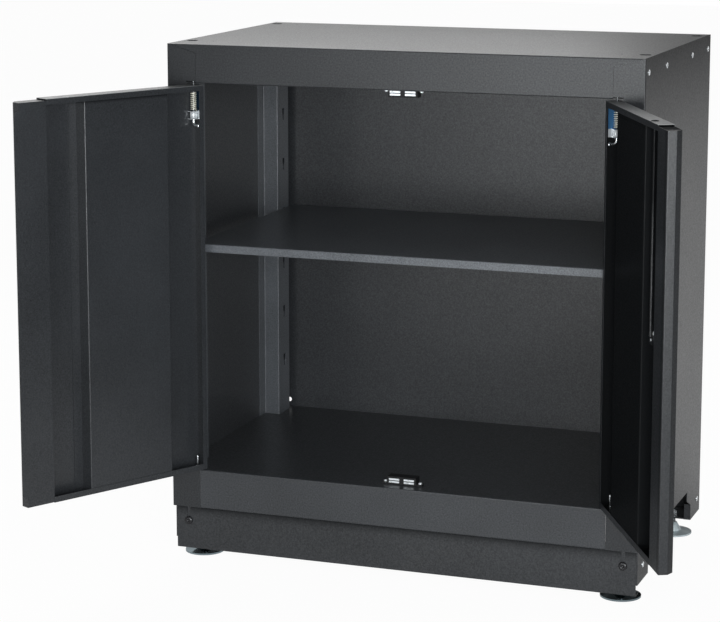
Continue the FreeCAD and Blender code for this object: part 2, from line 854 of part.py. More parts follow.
# Threaded inserts in the side walls.
inserts = new_body("module_inserts_left")
bores = [(y, z, insert_bore_r) for y, z in insert_places]
flanges = [(y, z, insert_flange_r) for y, z in insert_places]
barrels = [(y, z, insert_r) for y, z in insert_places]
pad(inserts, "YZ", left - insert_flange, [], insert_flange, flanges + bores)
pad(inserts, "YZ", left, [], insert_length, barrels + bores)
mirrored(inserts, "module_inserts_right")


def hang(piece, side, along=ZERO, deep=ZERO, up=ZERO):
    """Puts a door piece on its hinge axis and swings it open; side is -1 left and +1 right."""
    turn = FreeCAD.Rotation(FreeCAD.Vector(0, 0, side), open_angle.value)
    reach = along * -side
    swing_cos = cosine(open_angle)
    swing_sin = sine(open_angle) * side
    x = pin_x * side + reach * swing_cos - deep * swing_sin
    y = pin_setback + reach * swing_sin + deep * swing_cos
    piece.Placement = FreeCAD.Placement(FreeCAD.Vector(x.value, y.value, up.value), turn)
    bind(piece, "Placement.Base.x", x)
    bind(piece, "Placement.Base.y", y)
    bind(piece, "Placement.Base.z", up)
    bind(piece, "Placement.Rotation.Angle", open_angle)


# Door: skin folded on four sides, bevelled free edge, wide inner flange there, lips on the other sides.
hinge_x = -hinge_edge
front_y = -door_front
rib_end = wall_end - rib_inset


def door(word, side, thickness):
    inner = thickness - door_front
    grow = -side
    leaf = new_body("door_skin_" + word)
    path = [
        (hinge_x + door_lip, inner),
        (hinge_x, inner),
        (hinge_x, front_y),
        (free_x - bevel, front_y),
        (free_x, front_y + bevel),
        (free_x, inner),
        (wall_end, inner),
    ]
    section = flipped(folded(path, door_sheet, 1), grow)
    low = door_bottom + door_sheet
    high = door_top - door_sheet
    pad(leaf, "XY", low, [section], high - low)
    end_wall = flipped(box(hinge_x, front_y, wall_end, inner), grow)
    pad(leaf, "XY", high, [end_wall], door_sheet)
    pad(leaf, "XY", door_bottom, [end_wall], door_sheet)
    upper_lip = flipped(box(hinge_x, door_top - door_lip, wall_end, door_top), grow)
    lower_lip = flipped(box(hinge_x, door_bottom, wall_end, door_bottom + door_lip), grow)
    pad(leaf, "XZ", inner - door_sheet, [upper_lip, lower_lip], door_sheet)
    end_top = door_top - end_drop
    beyond = box(wall_end, front_y - door_sheet, free_x + door_sheet, inner + door_sheet)
    pocket(leaf, "XY", end_top, [flipped(beyond, grow)], end_drop)
    half_sheet = door_sheet / 2
    end_cap = [
        (wall_end - door_sheet, front_y + half_sheet),
        (free_x - bevel, front_y + half_sheet),
        (free_x - half_sheet, front_y + bevel),
        (free_x - half_sheet, inner - half_sheet),
        (wall_end - door_sheet, inner - half_sheet),
    ]
    pad(leaf, "XY", end_top - door_sheet, [flipped(end_cap, grow)], door_sheet)
    holes = [(ZERO, ZERO, pin_r + hole_play)]
    pocket(leaf, "XY", door_bottom, [], door_sheet, holes)
    if side > 0:
        holes.append((rod_along * grow, rod_y, rod_r + cam_play))
    pocket(leaf, "XY", high, [], door_sheet, holes)
    if side > 0:
        pocket(leaf, "XZ", front_y, [], door_sheet, [(lock_along * grow, lock_z, lock_r + hole_play)])
    else:
        edge = free_x + overlap
        stop_low = door_bottom + overlap_notch
        stop_high = door_top - overlap_notch
        tongue = box(free_x - door_sheet, stop_low, edge, stop_high)
        pad(leaf, "XZ", inner - door_sheet, [flipped(tongue, grow)], door_sheet)
        round_edges(leaf, "Y", overlap_round, [(edge * grow, stop_low), (edge * grow, stop_high)])
    folds = [(hinge_x, front_y), (free_x - bevel, front_y), (free_x, front_y + bevel), (hinge_x, inner)]
    if side > 0:
        folds.append((free_x, inner))
    round_edges(leaf, "Z", bend, flipped(folds, grow))
    hang(leaf, side)

    rib = new_body("door_stiffener_" + word)
    foot_y = front_y + door_sheet * 2
    crown_y = inner - door_sheet
    rib_path = [
        (rib_start - rib_flange, foot_y),
        (rib_start, foot_y),
        (rib_start, crown_y),
        (rib_end, crown_y),
        (rib_end, foot_y),
        (rib_end + rib_flange, foot_y),
    ]
    pad(rib, "XY", low, [flipped(folded(rib_path, door_sheet, -1), grow)], high - low)
    crown_folds = [(rib_start, crown_y), (rib_end, crown_y)]
    round_edges(rib, "Z", bend, flipped(crown_folds, grow))
    hang(rib, side)

    bracket = new_body("hinge_bracket_" + word)
    plate_x = hinge_x + door_sheet
    ear_base = ear_z - ear_drop
    back_plate = box(plate_x, ear_base, plate_x + ear_sheet, ear_z + plate_rise)
    pad(bracket, "XZ", -ear_width / 2, [flipped(back_plate, grow)], plate_wide)
    ears = [
        box(plate_x, ear_base, plate_x + ear_reach, ear_base + ear_sheet),
        box(plate_x, ear_z - ear_sheet, plate_x + ear_reach, ear_z),
    ]
    pad(bracket, "XZ", -ear_width / 2, [flipped(ear, grow) for ear in ears], ear_width)
    pocket(bracket, "XY", ear_z - ear_drop, [], ear_drop, [(ZERO, ZERO, pin_r + hole_play)])
    hang(bracket, side)

    pivot = new_body("lower_pivot_" + word)
    seat = sill_z + pivot_play
    pivot_profile = [
        (ZERO, pivot_bottom),
        (pin_r, pivot_bottom),
        (pin_r, seat),
        (pivot_collar_r, seat),
        (pivot_collar_r, door_bottom),
        (pin_r, door_bottom),
        (pin_r, low),
        (pivot_collar_r, low),
        (pivot_collar_r, low + pivot_head),
        (pin_r, low + pivot_head),
        (pin_r, low + pivot_stem),
        (ZERO, low + pivot_stem),
    ]
    revolve(pivot, pivot_profile)
    hang(pivot, side)

    bolt = new_body("hinge_bolt_" + word)
    bolt_profile = [
        (ZERO, bolt_bottom + bolt_bend),
        (pin_r, bolt_bottom + bolt_bend),
        (pin_r, collar_z),
        (collar_r, collar_z),
        (collar_r, collar_z + collar_sheet),
        (pin_r, collar_z + collar_sheet),
        (pin_r, bolt_top - pin_r / 2),
        (pin_r / 2, bolt_top),
        (ZERO, bolt_top),
    ]
    revolve(bolt, bolt_profile)
    elbow = new_sketch(bolt, "XY", bolt_bottom + bolt_bend)
    add_circle(elbow, ZERO, ZERO, pin_r)
    reach = pin_r.value * 3
    line_ends = [FreeCAD.Vector(x, bolt_bend.value, 0) for x in (-reach, reach)]
    hinge_line = elbow.addGeometry(Part.LineSegment(*line_ends), True)
    hold(elbow, "DistanceY", -1, 1, hinge_line, 1, bolt_bend)
    hold(elbow, "DistanceY", -1, 1, hinge_line, 2, bolt_bend)
    hold(elbow, "DistanceX", hinge_line, 1, -1, 1, pin_r * 3)
    hold(elbow, "DistanceX", -1, 1, hinge_line, 2, pin_r * 3)
    quarter = bolt.newObject("PartDesign::Revolution", bolt.Name + "_elbow")
    quarter.Profile = elbow
    quarter.ReferenceAxis = (elbow, ["Axis0"])
    quarter.Angle = 90
    pad(bolt, "XZ", bolt_bend, [], bolt_handle - bolt_bend, [(ZERO, bolt_bottom, pin_r)])
    hang(bolt, side)

    spring = doc.addObject("Part::Feature", "hinge_spring_" + word)
    spring.Label = "hinge_spring_" + word
    spring.Shape = coil_shape()
    hang(spring, side)
    nodes.append(spring)


def arc_between(start, tangent, end):
    """The arc that leaves start along tangent and ends at end."""
    chord = end - start
    length = chord.Length
    axis = chord * (1 / length)
    lean = tangent - axis * tangent.dot(axis)
    half_turn = math.atan2(lean.Length, tangent.dot(axis))
    lean.normalize()
    middle = start + chord * 0.5 + lean * (length / 2 * math.tan(half_turn / 2))
    return Part.Arc(start, middle, end).toShape()


def coil_shape():
    """A coil spring of round wire between the upper ear of the bracket and the collar of the bolt."""
    radius = coil_r.value
    wire = wire_r.value
    low = ear_z.value + coil_seat.value + wire
    high = collar_z.value - coil_seat.value - wire
    turns = int(coil_turns.value)
    pitch = (high - low) / turns
    slope = pitch / (2 * math.pi)
    run = math.hypot(radius, slope)

    def point(turn):
        return FreeCAD.Vector(radius * math.cos(turn), radius * math.sin(turn), low + slope * turn)

    def tangent(turn):
        return FreeCAD.Vector(-radius * math.sin(turn) / run, radius * math.cos(turn) / run, slope / run)

    edges = []
    step = math.pi / 2
    for i in range(turns * 4):
        p0, p1 = point(i * step), point((i + 1) * step)
        t0, t1 = tangent(i * step), tangent((i + 1) * step)
        v = p1 - p0
        along = v.dot(t0 + t1)
        spread = 2 * (1 - t0.dot(t1))
        reach = (-along + math.sqrt(along * along + spread * v.dot(v))) / spread
        joint = (p0 + p1 + (t0 - t1) * reach) * 0.5
        edges.append(arc_between(p0, t0, joint))
        middle = (joint - p0).normalize()
        exit_way = middle * (2 * middle.dot(t0)) - t0
        edges.append(arc_between(joint, exit_way, p1))
    section = Part.Wire([Part.Circle(point(0), tangent(0), wire).toShape()])
    solid = Part.Wire(edges).makePipeShell([section], True, False)
    samples = [point(k * 0.1) for k in range(int(turns * 20 * math.pi))]
    least = 1e9
    for i in range(0, len(samples), 7):
        for j in range(i + 32, min(i + 95, len(samples))):
            least = min(least, (samples[i] - samples[j]).Length)
    print("coil spring least gap to itself", round(least - 2 * wire, 2))
    return solid


door("left", -1, door_depth_left)
door("right", 1, door_depth_right)

# Cam lock: a flanged body through the skin, a nut behind it, a plug with a key slot, a cam and a rod.
# Each piece has the lock's axis as its own Z axis, which points into the cabinet when the door is shut.


def hang_lock(piece, deep):
    """Turns a lock piece so that its own Z axis is the lock's axis, and hangs it in the right door."""
    hang(piece, 1, lock_along, deep, lock_z)
    swing = FreeCAD.Rotation(FreeCAD.Vector(0, 0, 1), open_angle.value)
    lay = FreeCAD.Rotation(FreeCAD.Vector(1, 0, 0), -90)
    base = piece.Placement.Base
    piece.setExpression("Placement.Rotation.Angle", None)
    piece.Placement = FreeCAD.Placement(base, swing * lay)


lock_body = new_body("lock_body")
revolve(lock_body, [
    (plug_r + hole_play, -lock_flange),
    (lock_flange_r, -lock_flange),
    (lock_flange_r, ZERO),
    (lock_r, ZERO),
    (lock_r, lock_length),
    (plug_r + hole_play, lock_length),
])
hang_lock(lock_body, front_y)

lock_ring = new_body("lock_nut")
nut_loop = ring_of_flats(ZERO, ZERO, lock_nut_flats)
pad(lock_ring, "XY", door_sheet, [nut_loop], lock_nut, [(ZERO, ZERO, lock_r + hole_play)])
hang_lock(lock_ring, front_y)

plug_end = cam_front + door_front
lock_plug = new_body("lock_plug")
plug_face = -lock_flange - plug_proud
pad(lock_plug, "XY", plug_face, [], plug_end - plug_face, [(ZERO, ZERO, plug_r)])
key_slot = box(-key_slot_width / 2, -key_slot_length / 2, key_slot_width / 2, key_slot_length / 2)
pocket(lock_plug, "XY", plug_face, [key_slot], key_slot_deep)
hang_lock(lock_plug, front_y)

# The cam points down and towards the hinge when the rod is drawn.
throw_side = cam_throw * cosine(cam_angle)
lock_cam = new_body("lock_cam")
arm = [
    (-cam_tip_r, cam_tip_r),
    (cam_tip_r, -cam_tip_r),
    (throw_side + cam_tip_r, throw_side - cam_tip_r / 2),
    (throw_side + cam_tip_r, throw_side + cam_tip_r / 2),
    (throw_side + cam_tip_r / 2, throw_side + cam_tip_r),
    (throw_side - cam_tip_r / 2, throw_side + cam_tip_r),
]
pad(lock_cam, "XY", ZERO, [], cam_sheet, [(ZERO, ZERO, cam_r)])
pad(lock_cam, "XY", ZERO, [arm], cam_sheet)
pad(lock_cam, "XY", cam_sheet, [], cam_stud, [(throw_side, throw_side, cam_stud_r)])
hang_lock(lock_cam, cam_front)

lock_rod = new_body("lock_rod")
eye_z = lock_z - throw_side
eye_low = eye_z - rod_eye_height / 2
eye_high = eye_z + rod_eye_height / 2
eye_half = rod_eye_width / 2
slot_height = cam_stud_r + hole_play * 2
eye = flipped(box(rod_along - eye_half, eye_low, rod_along + eye_half, eye_high), -1)
slot_left = rod_along - rod_slot_half
slot_right = rod_along + rod_slot_half
slot = flipped(box(slot_left, eye_z - slot_height, slot_right, eye_z + slot_height), -1)
pad(lock_rod, "XZ", eye_y, [eye, slot], rod_eye_sheet)
pad(lock_rod, "XY", eye_high - rod_r, [], rod_top - eye_high + rod_r, [(-rod_along, rod_y, rod_r)])
hang(lock_rod, 1)

doc.recompute()
for thing in doc.Objects:
    for word in ("Invalid", "Error"):
        if word in thing.State:
            raise RuntimeError(thing.Name + " " + word)
for node in nodes:
    if node.Shape.isNull() or not node.Shape.isValid():
        raise RuntimeError(node.Label + " has no valid shape")
    if not node.Shape.Solids:
        raise RuntimeError(node.Label + " has no solid")

os.makedirs("parts", exist_ok=True)
for node in nodes:
    node.Shape.exportStep("parts/" + node.Label + ".step")
print(len(nodes), "nodes written")
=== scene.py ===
"""Low two-door workshop cabinet of folded steel sheet: finishes, small hardware and a plain studio stage."""

import json
import math

import bpy
import numpy as np
from bpy.props import FloatProperty, FloatVectorProperty, IntProperty, PointerProperty
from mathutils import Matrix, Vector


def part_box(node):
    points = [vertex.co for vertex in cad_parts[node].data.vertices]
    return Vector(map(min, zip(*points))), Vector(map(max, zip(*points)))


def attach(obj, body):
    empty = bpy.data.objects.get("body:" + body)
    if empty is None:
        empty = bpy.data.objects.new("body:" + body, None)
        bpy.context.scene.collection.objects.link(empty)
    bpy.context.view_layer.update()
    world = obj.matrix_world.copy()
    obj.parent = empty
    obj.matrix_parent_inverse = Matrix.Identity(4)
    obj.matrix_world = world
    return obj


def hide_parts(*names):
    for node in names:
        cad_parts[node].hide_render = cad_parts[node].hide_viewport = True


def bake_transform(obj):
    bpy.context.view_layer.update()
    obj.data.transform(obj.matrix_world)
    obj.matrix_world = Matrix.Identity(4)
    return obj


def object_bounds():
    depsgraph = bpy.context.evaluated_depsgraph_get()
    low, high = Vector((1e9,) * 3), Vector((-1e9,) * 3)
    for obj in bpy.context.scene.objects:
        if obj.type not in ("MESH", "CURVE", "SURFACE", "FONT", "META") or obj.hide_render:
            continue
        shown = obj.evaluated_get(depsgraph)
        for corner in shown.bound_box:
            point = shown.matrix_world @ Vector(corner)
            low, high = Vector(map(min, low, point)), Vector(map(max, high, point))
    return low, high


bl_info = {
    "name": "Low cabinet",
    "version": (1, 0, 0),
    "blender": (4, 5, 0),
    "location": "3D View > Sidebar > Low cabinet",
    "description": "Dresses the low two-door cabinet with its finishes and small hardware",
    "category": "Object",
}

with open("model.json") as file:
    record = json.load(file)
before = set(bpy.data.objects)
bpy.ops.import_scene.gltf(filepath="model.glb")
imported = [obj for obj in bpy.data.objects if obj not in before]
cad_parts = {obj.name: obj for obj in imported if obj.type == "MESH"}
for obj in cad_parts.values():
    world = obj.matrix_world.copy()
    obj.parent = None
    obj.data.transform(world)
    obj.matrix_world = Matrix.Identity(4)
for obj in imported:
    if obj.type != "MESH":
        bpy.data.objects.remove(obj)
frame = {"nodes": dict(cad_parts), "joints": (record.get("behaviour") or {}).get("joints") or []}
CAD_BOX = [[float(value) for value in corner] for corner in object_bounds()]
NODES = frame["nodes"]

SIDES = ("left", "right")
CORNERS = ("front_left", "front_right", "rear_left", "rear_right")
POSTS = ["rear_post_left", "rear_post_right", "front_post_left", "front_post_right"]
FOOT_BRACKETS = ["foot_bracket_" + corner for corner in CORNERS]
FEET = ["foot_" + corner for corner in CORNERS]
PLATED = ["foot_nuts", "shelf_clips", "module_inserts_left", "module_inserts_right",
          "lower_pivot_left", "lower_pivot_right"]
CATCH_METAL = ["catch_plates_upper", "catch_plates_lower", "catch_screws_upper", "catch_screws_lower"]

# Directions
ORIGIN, UP, AHEAD, BACK = (0, 0, 0), (0, 0, 1), (0, -1, 0), (0, 1, 0)

# Coat: share of the coat colour on each kind of piece; the floor panel, shelf, posts and doors take paler
# and darker copies of the one coat as painted light and shade
FLOOR_PAINTED_LIGHT, SHELF_PAINTED_LIGHT, POST_PAINTED_LIGHT, BRACKET_SHARE, ROD_SHARE = 1.5, 4.2, 3.5, 0.6, 0.7
DOOR_PAINTED_LIGHT = {"left": 1.18, "right": 0.96}

# Coat: painted shade on the front faces, the tops of the sides, the plinth under the floor panel, the door
# ribs under the top lip and the upper lock rod, as (start, width) of a ramp in metres along a direction
FRONT_FACE = (-0.0012, 0.0006)
SIDE_TOP = (0.68, 0.24)
BEHIND_STILE = (0.002, 0.001)
PLINTH_SHADOW = (-0.024, 0.021)     # from the underside of the floor panel
RIB_SHADOW = (-0.018, 0.007)        # from the top of the door
GAP_SHADE, ROD_SHADE = 0.8, 0.8
ROD_START, ROD_RUN = 0.35, 0.3      # shares of the rod's length

# Doors, from the hinge axis with the door shut; painted shade darkens the right door's tray and free end,
# and a painted sheen lightens the top flange
TRAY_FLOOR, TRAY_RIM, DEPTH_RAMP = -0.0072, 0.0171, 0.0003
TRAY_END, FREE_START, REACH_RAMP = 0.360, 0.361, 0.001
FREE_END_PAINTED_SHADE = 0.32
SHEEN_START, SHEEN_RUN = -0.12, 0.5
PAINTED_SHEEN_COLOUR = (0.38, 0.39, 0.39)
FLANGE_DROP, FLANGE_RAMP = 0.0009, 0.0004
PULL_LEVEL, PULL_ROOT, PULL_TIP = 0.0026, 0.0060, 0.0125
PIVOT_CAP = 0.00265

# Sleeve of a hinge bolt
SLEEVE_FOOT, SLEEVE_HEAD, SLEEVE_BORE, SLEEVE_BEVEL = 0.0012, 0.0016, 0.0029, 0.0008
COLOUR_BREAK = 0.001                # film colours and painted shade change over this height, just below the spring

# Feet
HUB_TOP, STUD_RADIUS, THREAD_GAP, STUD_END = 0.0204, 0.00503, 0.0002, 0.0003

# Threaded inserts: drop from the top, distances from the front and back, places low on the legs
INSERT_DROP, INSERT_EDGE, INSERT_SECOND = 0.024, 0.023, 0.153
INSERT_LEG_FRONT, INSERT_LEG_REAR, INSERT_LEG_LEVEL = 0.050, 0.025, 0.060
INSERT_INNER, INSERT_OUTER = 0.0027, 0.0050

# Lock
LOCK_FLANGE, BEZEL_INNER, BEZEL_OUTER = 0.024, 0.0088, 0.0122
BUSH_INNER, BUSH_RISE = 0.0031, 0.0009

# Stage
FLOOR_HALF, FLOOR_LEVEL, FLOOR_GLOW = 14.0, -0.0003, 0.96
SENSOR_WIDTH, CLIP_NEAR, CLIP_FAR = 36.0, 0.05, 100.0
COOL_LIGHT, WHITE_LIGHT = (0.95, 0.98, 1.0), (1.0, 1.0, 1.0)

# Surround, as mirrors see it; a bearing is the sine of the angle to the right of straight behind or ahead
REAR_TURN, REAR_GAIN = 0.42, 4.0
BEHIND_GAIN, BEHIND_START = 1.2, 0.6
FAR_FADE, CLOSE_FADE = 24.0, 4.0
DIM_START, DIM_WIDTH, DIM_SHARE = 0.48, 0.2, 0.6
AHEAD_BASE, AHEAD_TURN, AHEAD_GAIN = 0.75, 0.6, 0.5
AHEAD_FAR, AHEAD_CLOSE = 0.12, 0.35
OVER_START = 0.3

# Powder coat recipe
COAT_DRIFT, COAT_CONTRAST, COAT_DARK, COAT_PALE = 5.0, 1.8, 0.3, 1.7
# Painted shade: a dark matt diffuse mixed over the coat where a mask asks for it, up to a limit
PAINTED_SHADE_COLOUR, PAINTED_SHADE_LIMIT = (0.006, 0.0065, 0.007, 1), 0.9


def hinge_joint(side):
    """The joint record of one door's hinge."""
    for joint in frame["joints"]:
        if joint["name"] == side + "_door_swing":
            return joint
    raise ValueError("no hinge for the " + side + " door")


# ---------------------------------------------------------------- sizes and colours

class CabinetFinish(bpy.types.PropertyGroup):
    """Colours and gloss of the cabinet's finishes."""

    coat_colour: FloatVectorProperty(
        name="Coat", description="Colour of the anthracite powder coat", subtype="COLOR",
        size=3, min=0, max=1, default=(0.0190, 0.0206, 0.0228))
    coat_gloss: FloatProperty(
        name="Coat roughness", description="Roughness of the powder coat", subtype="FACTOR",
        min=0, max=1, default=0.33)
    # Painted shade on the front faces of the top and side panels
    front_shade: FloatProperty(
        name="Front shade", description="How much the coat of the front frame is dulled",
        subtype="FACTOR", min=0, max=1, default=0.14)
    # Painted shade on the side panels, darker towards the top
    side_shade: FloatProperty(
        name="Side shade", description="How much the coat of the sides is dulled at the top",
        subtype="FACTOR", min=0, max=1, default=0.48)
    # Painted shade inside the right door's tray and on its free end
    tray_painted_shade: FloatProperty(
        name="Tray dullness", description="How dull the coat is inside the right door's tray",
        subtype="FACTOR", min=0, max=1, default=0.86)
    coat_grain: FloatProperty(
        name="Coat grain", description="Width of one dimple of the powder coat", unit="LENGTH",
        min=0.0002, max=0.01, precision=5, default=0.0022)
    zinc_colour: FloatVectorProperty(
        name="Zinc", description="Colour of the bright zinc plating", subtype="COLOR",
        size=3, min=0, max=1, default=(0.74, 0.77, 0.79))
    bracket_colour: FloatVectorProperty(
        name="Blue zinc", description="Colour of the blue passivated hinge brackets", subtype="COLOR",
        size=3, min=0, max=1, default=(0.07, 0.21, 0.43))
    spring_colour: FloatVectorProperty(
        name="Spring wire", description="Colour of the plated spring wire", subtype="COLOR",
        size=3, min=0, max=1, default=(0.88, 0.86, 0.74))
    housing_colour: FloatVectorProperty(
        name="Catch housing", description="Colour of the moulded catch housings", subtype="COLOR",
        size=3, min=0, max=1, default=(0.013, 0.013, 0.014))


class CabinetHardware(bpy.types.PropertyGroup):
    """Sizes of the small hardware that is added to the frame."""

    thread_pitch: FloatProperty(
        name="Thread pitch", description="Pitch of the foot studs' thread", unit="LENGTH",
        min=0.0005, max=0.004, precision=5, default=0.0015)
    thread_depth: FloatProperty(
        name="Thread depth", description="Height of the thread's crest over the stud", unit="LENGTH",
        min=0.0001, max=0.001, precision=5, default=0.0005)
    dome_height: FloatProperty(
        name="Screw dome", description="Rise of a catch screw's domed head", unit="LENGTH",
        min=0.0002, max=0.003, precision=5, default=0.0009)
    recess_width: FloatProperty(
        name="Recess width", description="Width of the arms of the cross recess", unit="LENGTH",
        min=0.0002, max=0.003, precision=5, default=0.0010)
    rim_rise: FloatProperty(
        name="Insert rim", description="Thickness of the rolled rim of a threaded insert", unit="LENGTH",
        min=0.0002, max=0.003, precision=5, default=0.0011)
    bolt_knob: FloatProperty(
        name="Bolt knob", description="Radius of the rounded end of a hinge bolt's finger pull",
        unit="LENGTH", min=0.001, max=0.006, precision=5, default=0.0031)
    bezel_section: FloatProperty(
        name="Lock bezel", description="Thickness of the ring around the lock", unit="LENGTH",
        min=0.0005, max=0.004, precision=5, default=0.0018)
    spring_wire: FloatProperty(
        name="Spring wire", description="Half the thickness of the spring wire", unit="LENGTH",
        min=0.0004, max=0.0012, precision=5, default=0.0009)
    spring_turns: FloatProperty(
        name="Spring turns", description="Turns of each hinge spring", min=4, max=14, default=11)
    sleeve_half: FloatProperty(
        name="Bolt sleeve", description="Half the width of the sleeve around a hinge bolt", unit="LENGTH",
        min=0.003, max=0.0055, precision=5, default=0.0052)
    bush_reach: FloatProperty(
        name="Rod bush", description="Outer radius of the bush around the lock rod", unit="LENGTH",
        min=0.004, max=0.01, precision=5, default=0.0062)
    socket_reach: FloatProperty(
        name="Plinth screw", description="Reach of a plinth screw's round head over its core",
        min=1, max=1.4, default=1.03)
    around: IntProperty(
        name="Steps around", description="Steps around a turned piece", min=12, max=128, default=48)


class CabinetStage(bpy.types.PropertyGroup):
    """Camera, floor and light."""

    camera_place: FloatVectorProperty(
        name="Camera", description="Where the camera stands", subtype="TRANSLATION", unit="LENGTH",
        size=3, default=(1.30086, -3.75307, 1.27596))
    camera_turn: FloatProperty(
        name="Turn", description="Turn of the camera to the left of straight on", subtype="ANGLE",
        default=0.34956)
    camera_dip: FloatProperty(
        name="Dip", description="Dip of the camera below the horizon", subtype="ANGLE", default=0.16845)
    camera_lens: FloatProperty(
        name="Focal length", description="Focal length on a sensor 36 mm wide", unit="CAMERA",
        min=10, max=400, default=119.1124)
    camera_rise: FloatProperty(
        name="Shift", description="Vertical shift of the lens", default=-0.1)
    floor_colour: FloatVectorProperty(
        name="Floor", description="Colour of the plain floor", subtype="COLOR", size=3, min=0, max=1,
        default=(0.93, 0.93, 0.93))
    sky_level: FloatProperty(
        name="Sky", description="Level of the even light all round", min=0, max=2, default=0.42)
    front_level: FloatProperty(
        name="Front", description="Level of what the cabinet's front mirrors", subtype="FACTOR",
        min=0, max=1, default=0.12)
    over_level: FloatProperty(
        name="Overhead", description="Gain of what is mirrored from above", min=0, max=1, default=0.9)
    left_level: FloatProperty(
        name="Back left", description="Level of what the top mirrors, behind on the left", subtype="FACTOR",
        min=0, max=1, default=0.42)
    right_level: FloatProperty(
        name="Back right", description="Level of the far view that the side mirrors", subtype="FACTOR",
        min=0, max=1, default=0.10)
    near_level: FloatProperty(
        name="Near right", description="Gain of the near floor that the sides mirror", subtype="FACTOR",
        min=0, max=1, default=0.60)
    key_power: FloatProperty(
        name="Key lamp", description="Power of the large lamp at the right front", unit="POWER",
        min=0, max=1000, default=165)
    fill_power: FloatProperty(
        name="Fill lamp", description="Power of the low lamp at the left front", unit="POWER",
        min=0, max=1000, default=40)
    top_power: FloatProperty(
        name="Top lamp", description="Power of the large lamp overhead", unit="POWER",
        min=0, max=1000, default=21)


# ---------------------------------------------------------------- shader maths

class Wire:
    """One socket of a node tree. Sums, differences, products and quotients of wires add Math nodes."""

    def __init__(self, tree, socket=None):
        self.tree = tree
        self.socket = socket

    def make(self, kind, settings=None, sockets=None, out=0):
        """Adds any node: its settings first, then the values or wires of its sockets; gives one output."""
        node = self.tree.nodes.new(kind)
        for name, value in (settings or {}).items():
            setattr(node, name, value)
        for key, value in (sockets or {}).items():
            if isinstance(value, Wire):
                self.tree.links.new(value.socket, node.inputs[key])
            else:
                node.inputs[key].default_value = value
        return Wire(self.tree, node.outputs[out]) if len(node.outputs) else None

    def maths(self, operation, first, second):
        return self.make("ShaderNodeMath", {"operation": operation}, {0: first, 1: second})

    def __add__(self, other):
        return self.maths("ADD", self, other)

    __radd__ = __add__

    def __mul__(self, other):
        return self.maths("MULTIPLY", self, other)

    __rmul__ = __mul__

    def __sub__(self, other):
        return self.maths("SUBTRACT", self, other)

    def __rsub__(self, other):
        return self.maths("SUBTRACT", other, self)

    def __truediv__(self, other):
        return self.maths("DIVIDE", self, other)

    def power(self, exponent):
        return self.maths("POWER", self, exponent)

    def at_most(self, limit):
        return self.maths("MINIMUM", self, limit)

    def at_least(self, limit):
        return self.maths("MAXIMUM", self, limit)

    def noise(self, scale, detail=2.0, rough=0.5):
        """Smooth noise of about one feature per 1/scale metres, read at this wire's coordinates."""
        return self.make("ShaderNodeTexNoise", {},
                         {"Vector": self, "Scale": scale, "Detail": detail, "Roughness": rough})

    def stretched(self, x, y, z):
        return self.make("ShaderNodeMapping", {}, {"Vector": self, "Scale": (x, y, z)})

    def tint(self, colour, other):
        """Blend from one colour to another by this wire; either may be a wire itself."""
        ends = [end if isinstance(end, Wire) else (*end, 1) for end in (colour, other)]
        return self.make("ShaderNodeMix", {"data_type": "RGBA", "clamp_factor": True},
                         {0: self, 6: ends[0], 7: ends[1]}, out=2)

    def along(self, origin, way):
        """Distance from an origin along a direction, read at this wire's coordinates."""
        dot = self.make("ShaderNodeVectorMath", {"operation": "DOT_PRODUCT"},
                        {0: self, 1: tuple(way)}, out="Value")
        return dot - float(np.dot(origin, way))

    def step(self, edge, wide):
        """Rises from nought to one over a width that starts at an edge."""
        return ((self - edge) / wide).at_least(0.0).at_most(1.0)

    def bump(self, strength, distance):
        return self.make("ShaderNodeBump", {}, {"Height": self, "Strength": strength, "Distance": distance})


def fresh_material(name):
    """An empty material and the wire from which its nodes are made."""
    material = bpy.data.materials.new(name)
    material.use_nodes = True
    material.node_tree.nodes.clear()
    return material, Wire(material.node_tree)


def finish_material(start, sockets, painted_shade=None):
    """Ends a material with one glossy shader, under a painted shade (a dark matt diffuse) where a wire asks
    for it.
    """
    shader = start.make("ShaderNodeBsdfPrincipled", {}, sockets)
    if painted_shade:
        dull = start.make("ShaderNodeBsdfDiffuse", {}, {"Color": PAINTED_SHADE_COLOUR})
        shader = start.make("ShaderNodeMixShader", {}, {0: painted_shade, 1: shader, 2: dull})
    start.make("ShaderNodeOutputMaterial", {}, {"Surface": shader})


def scaled(colour, factor):
    return tuple(min(channel * factor, 1.0) for channel in colour)


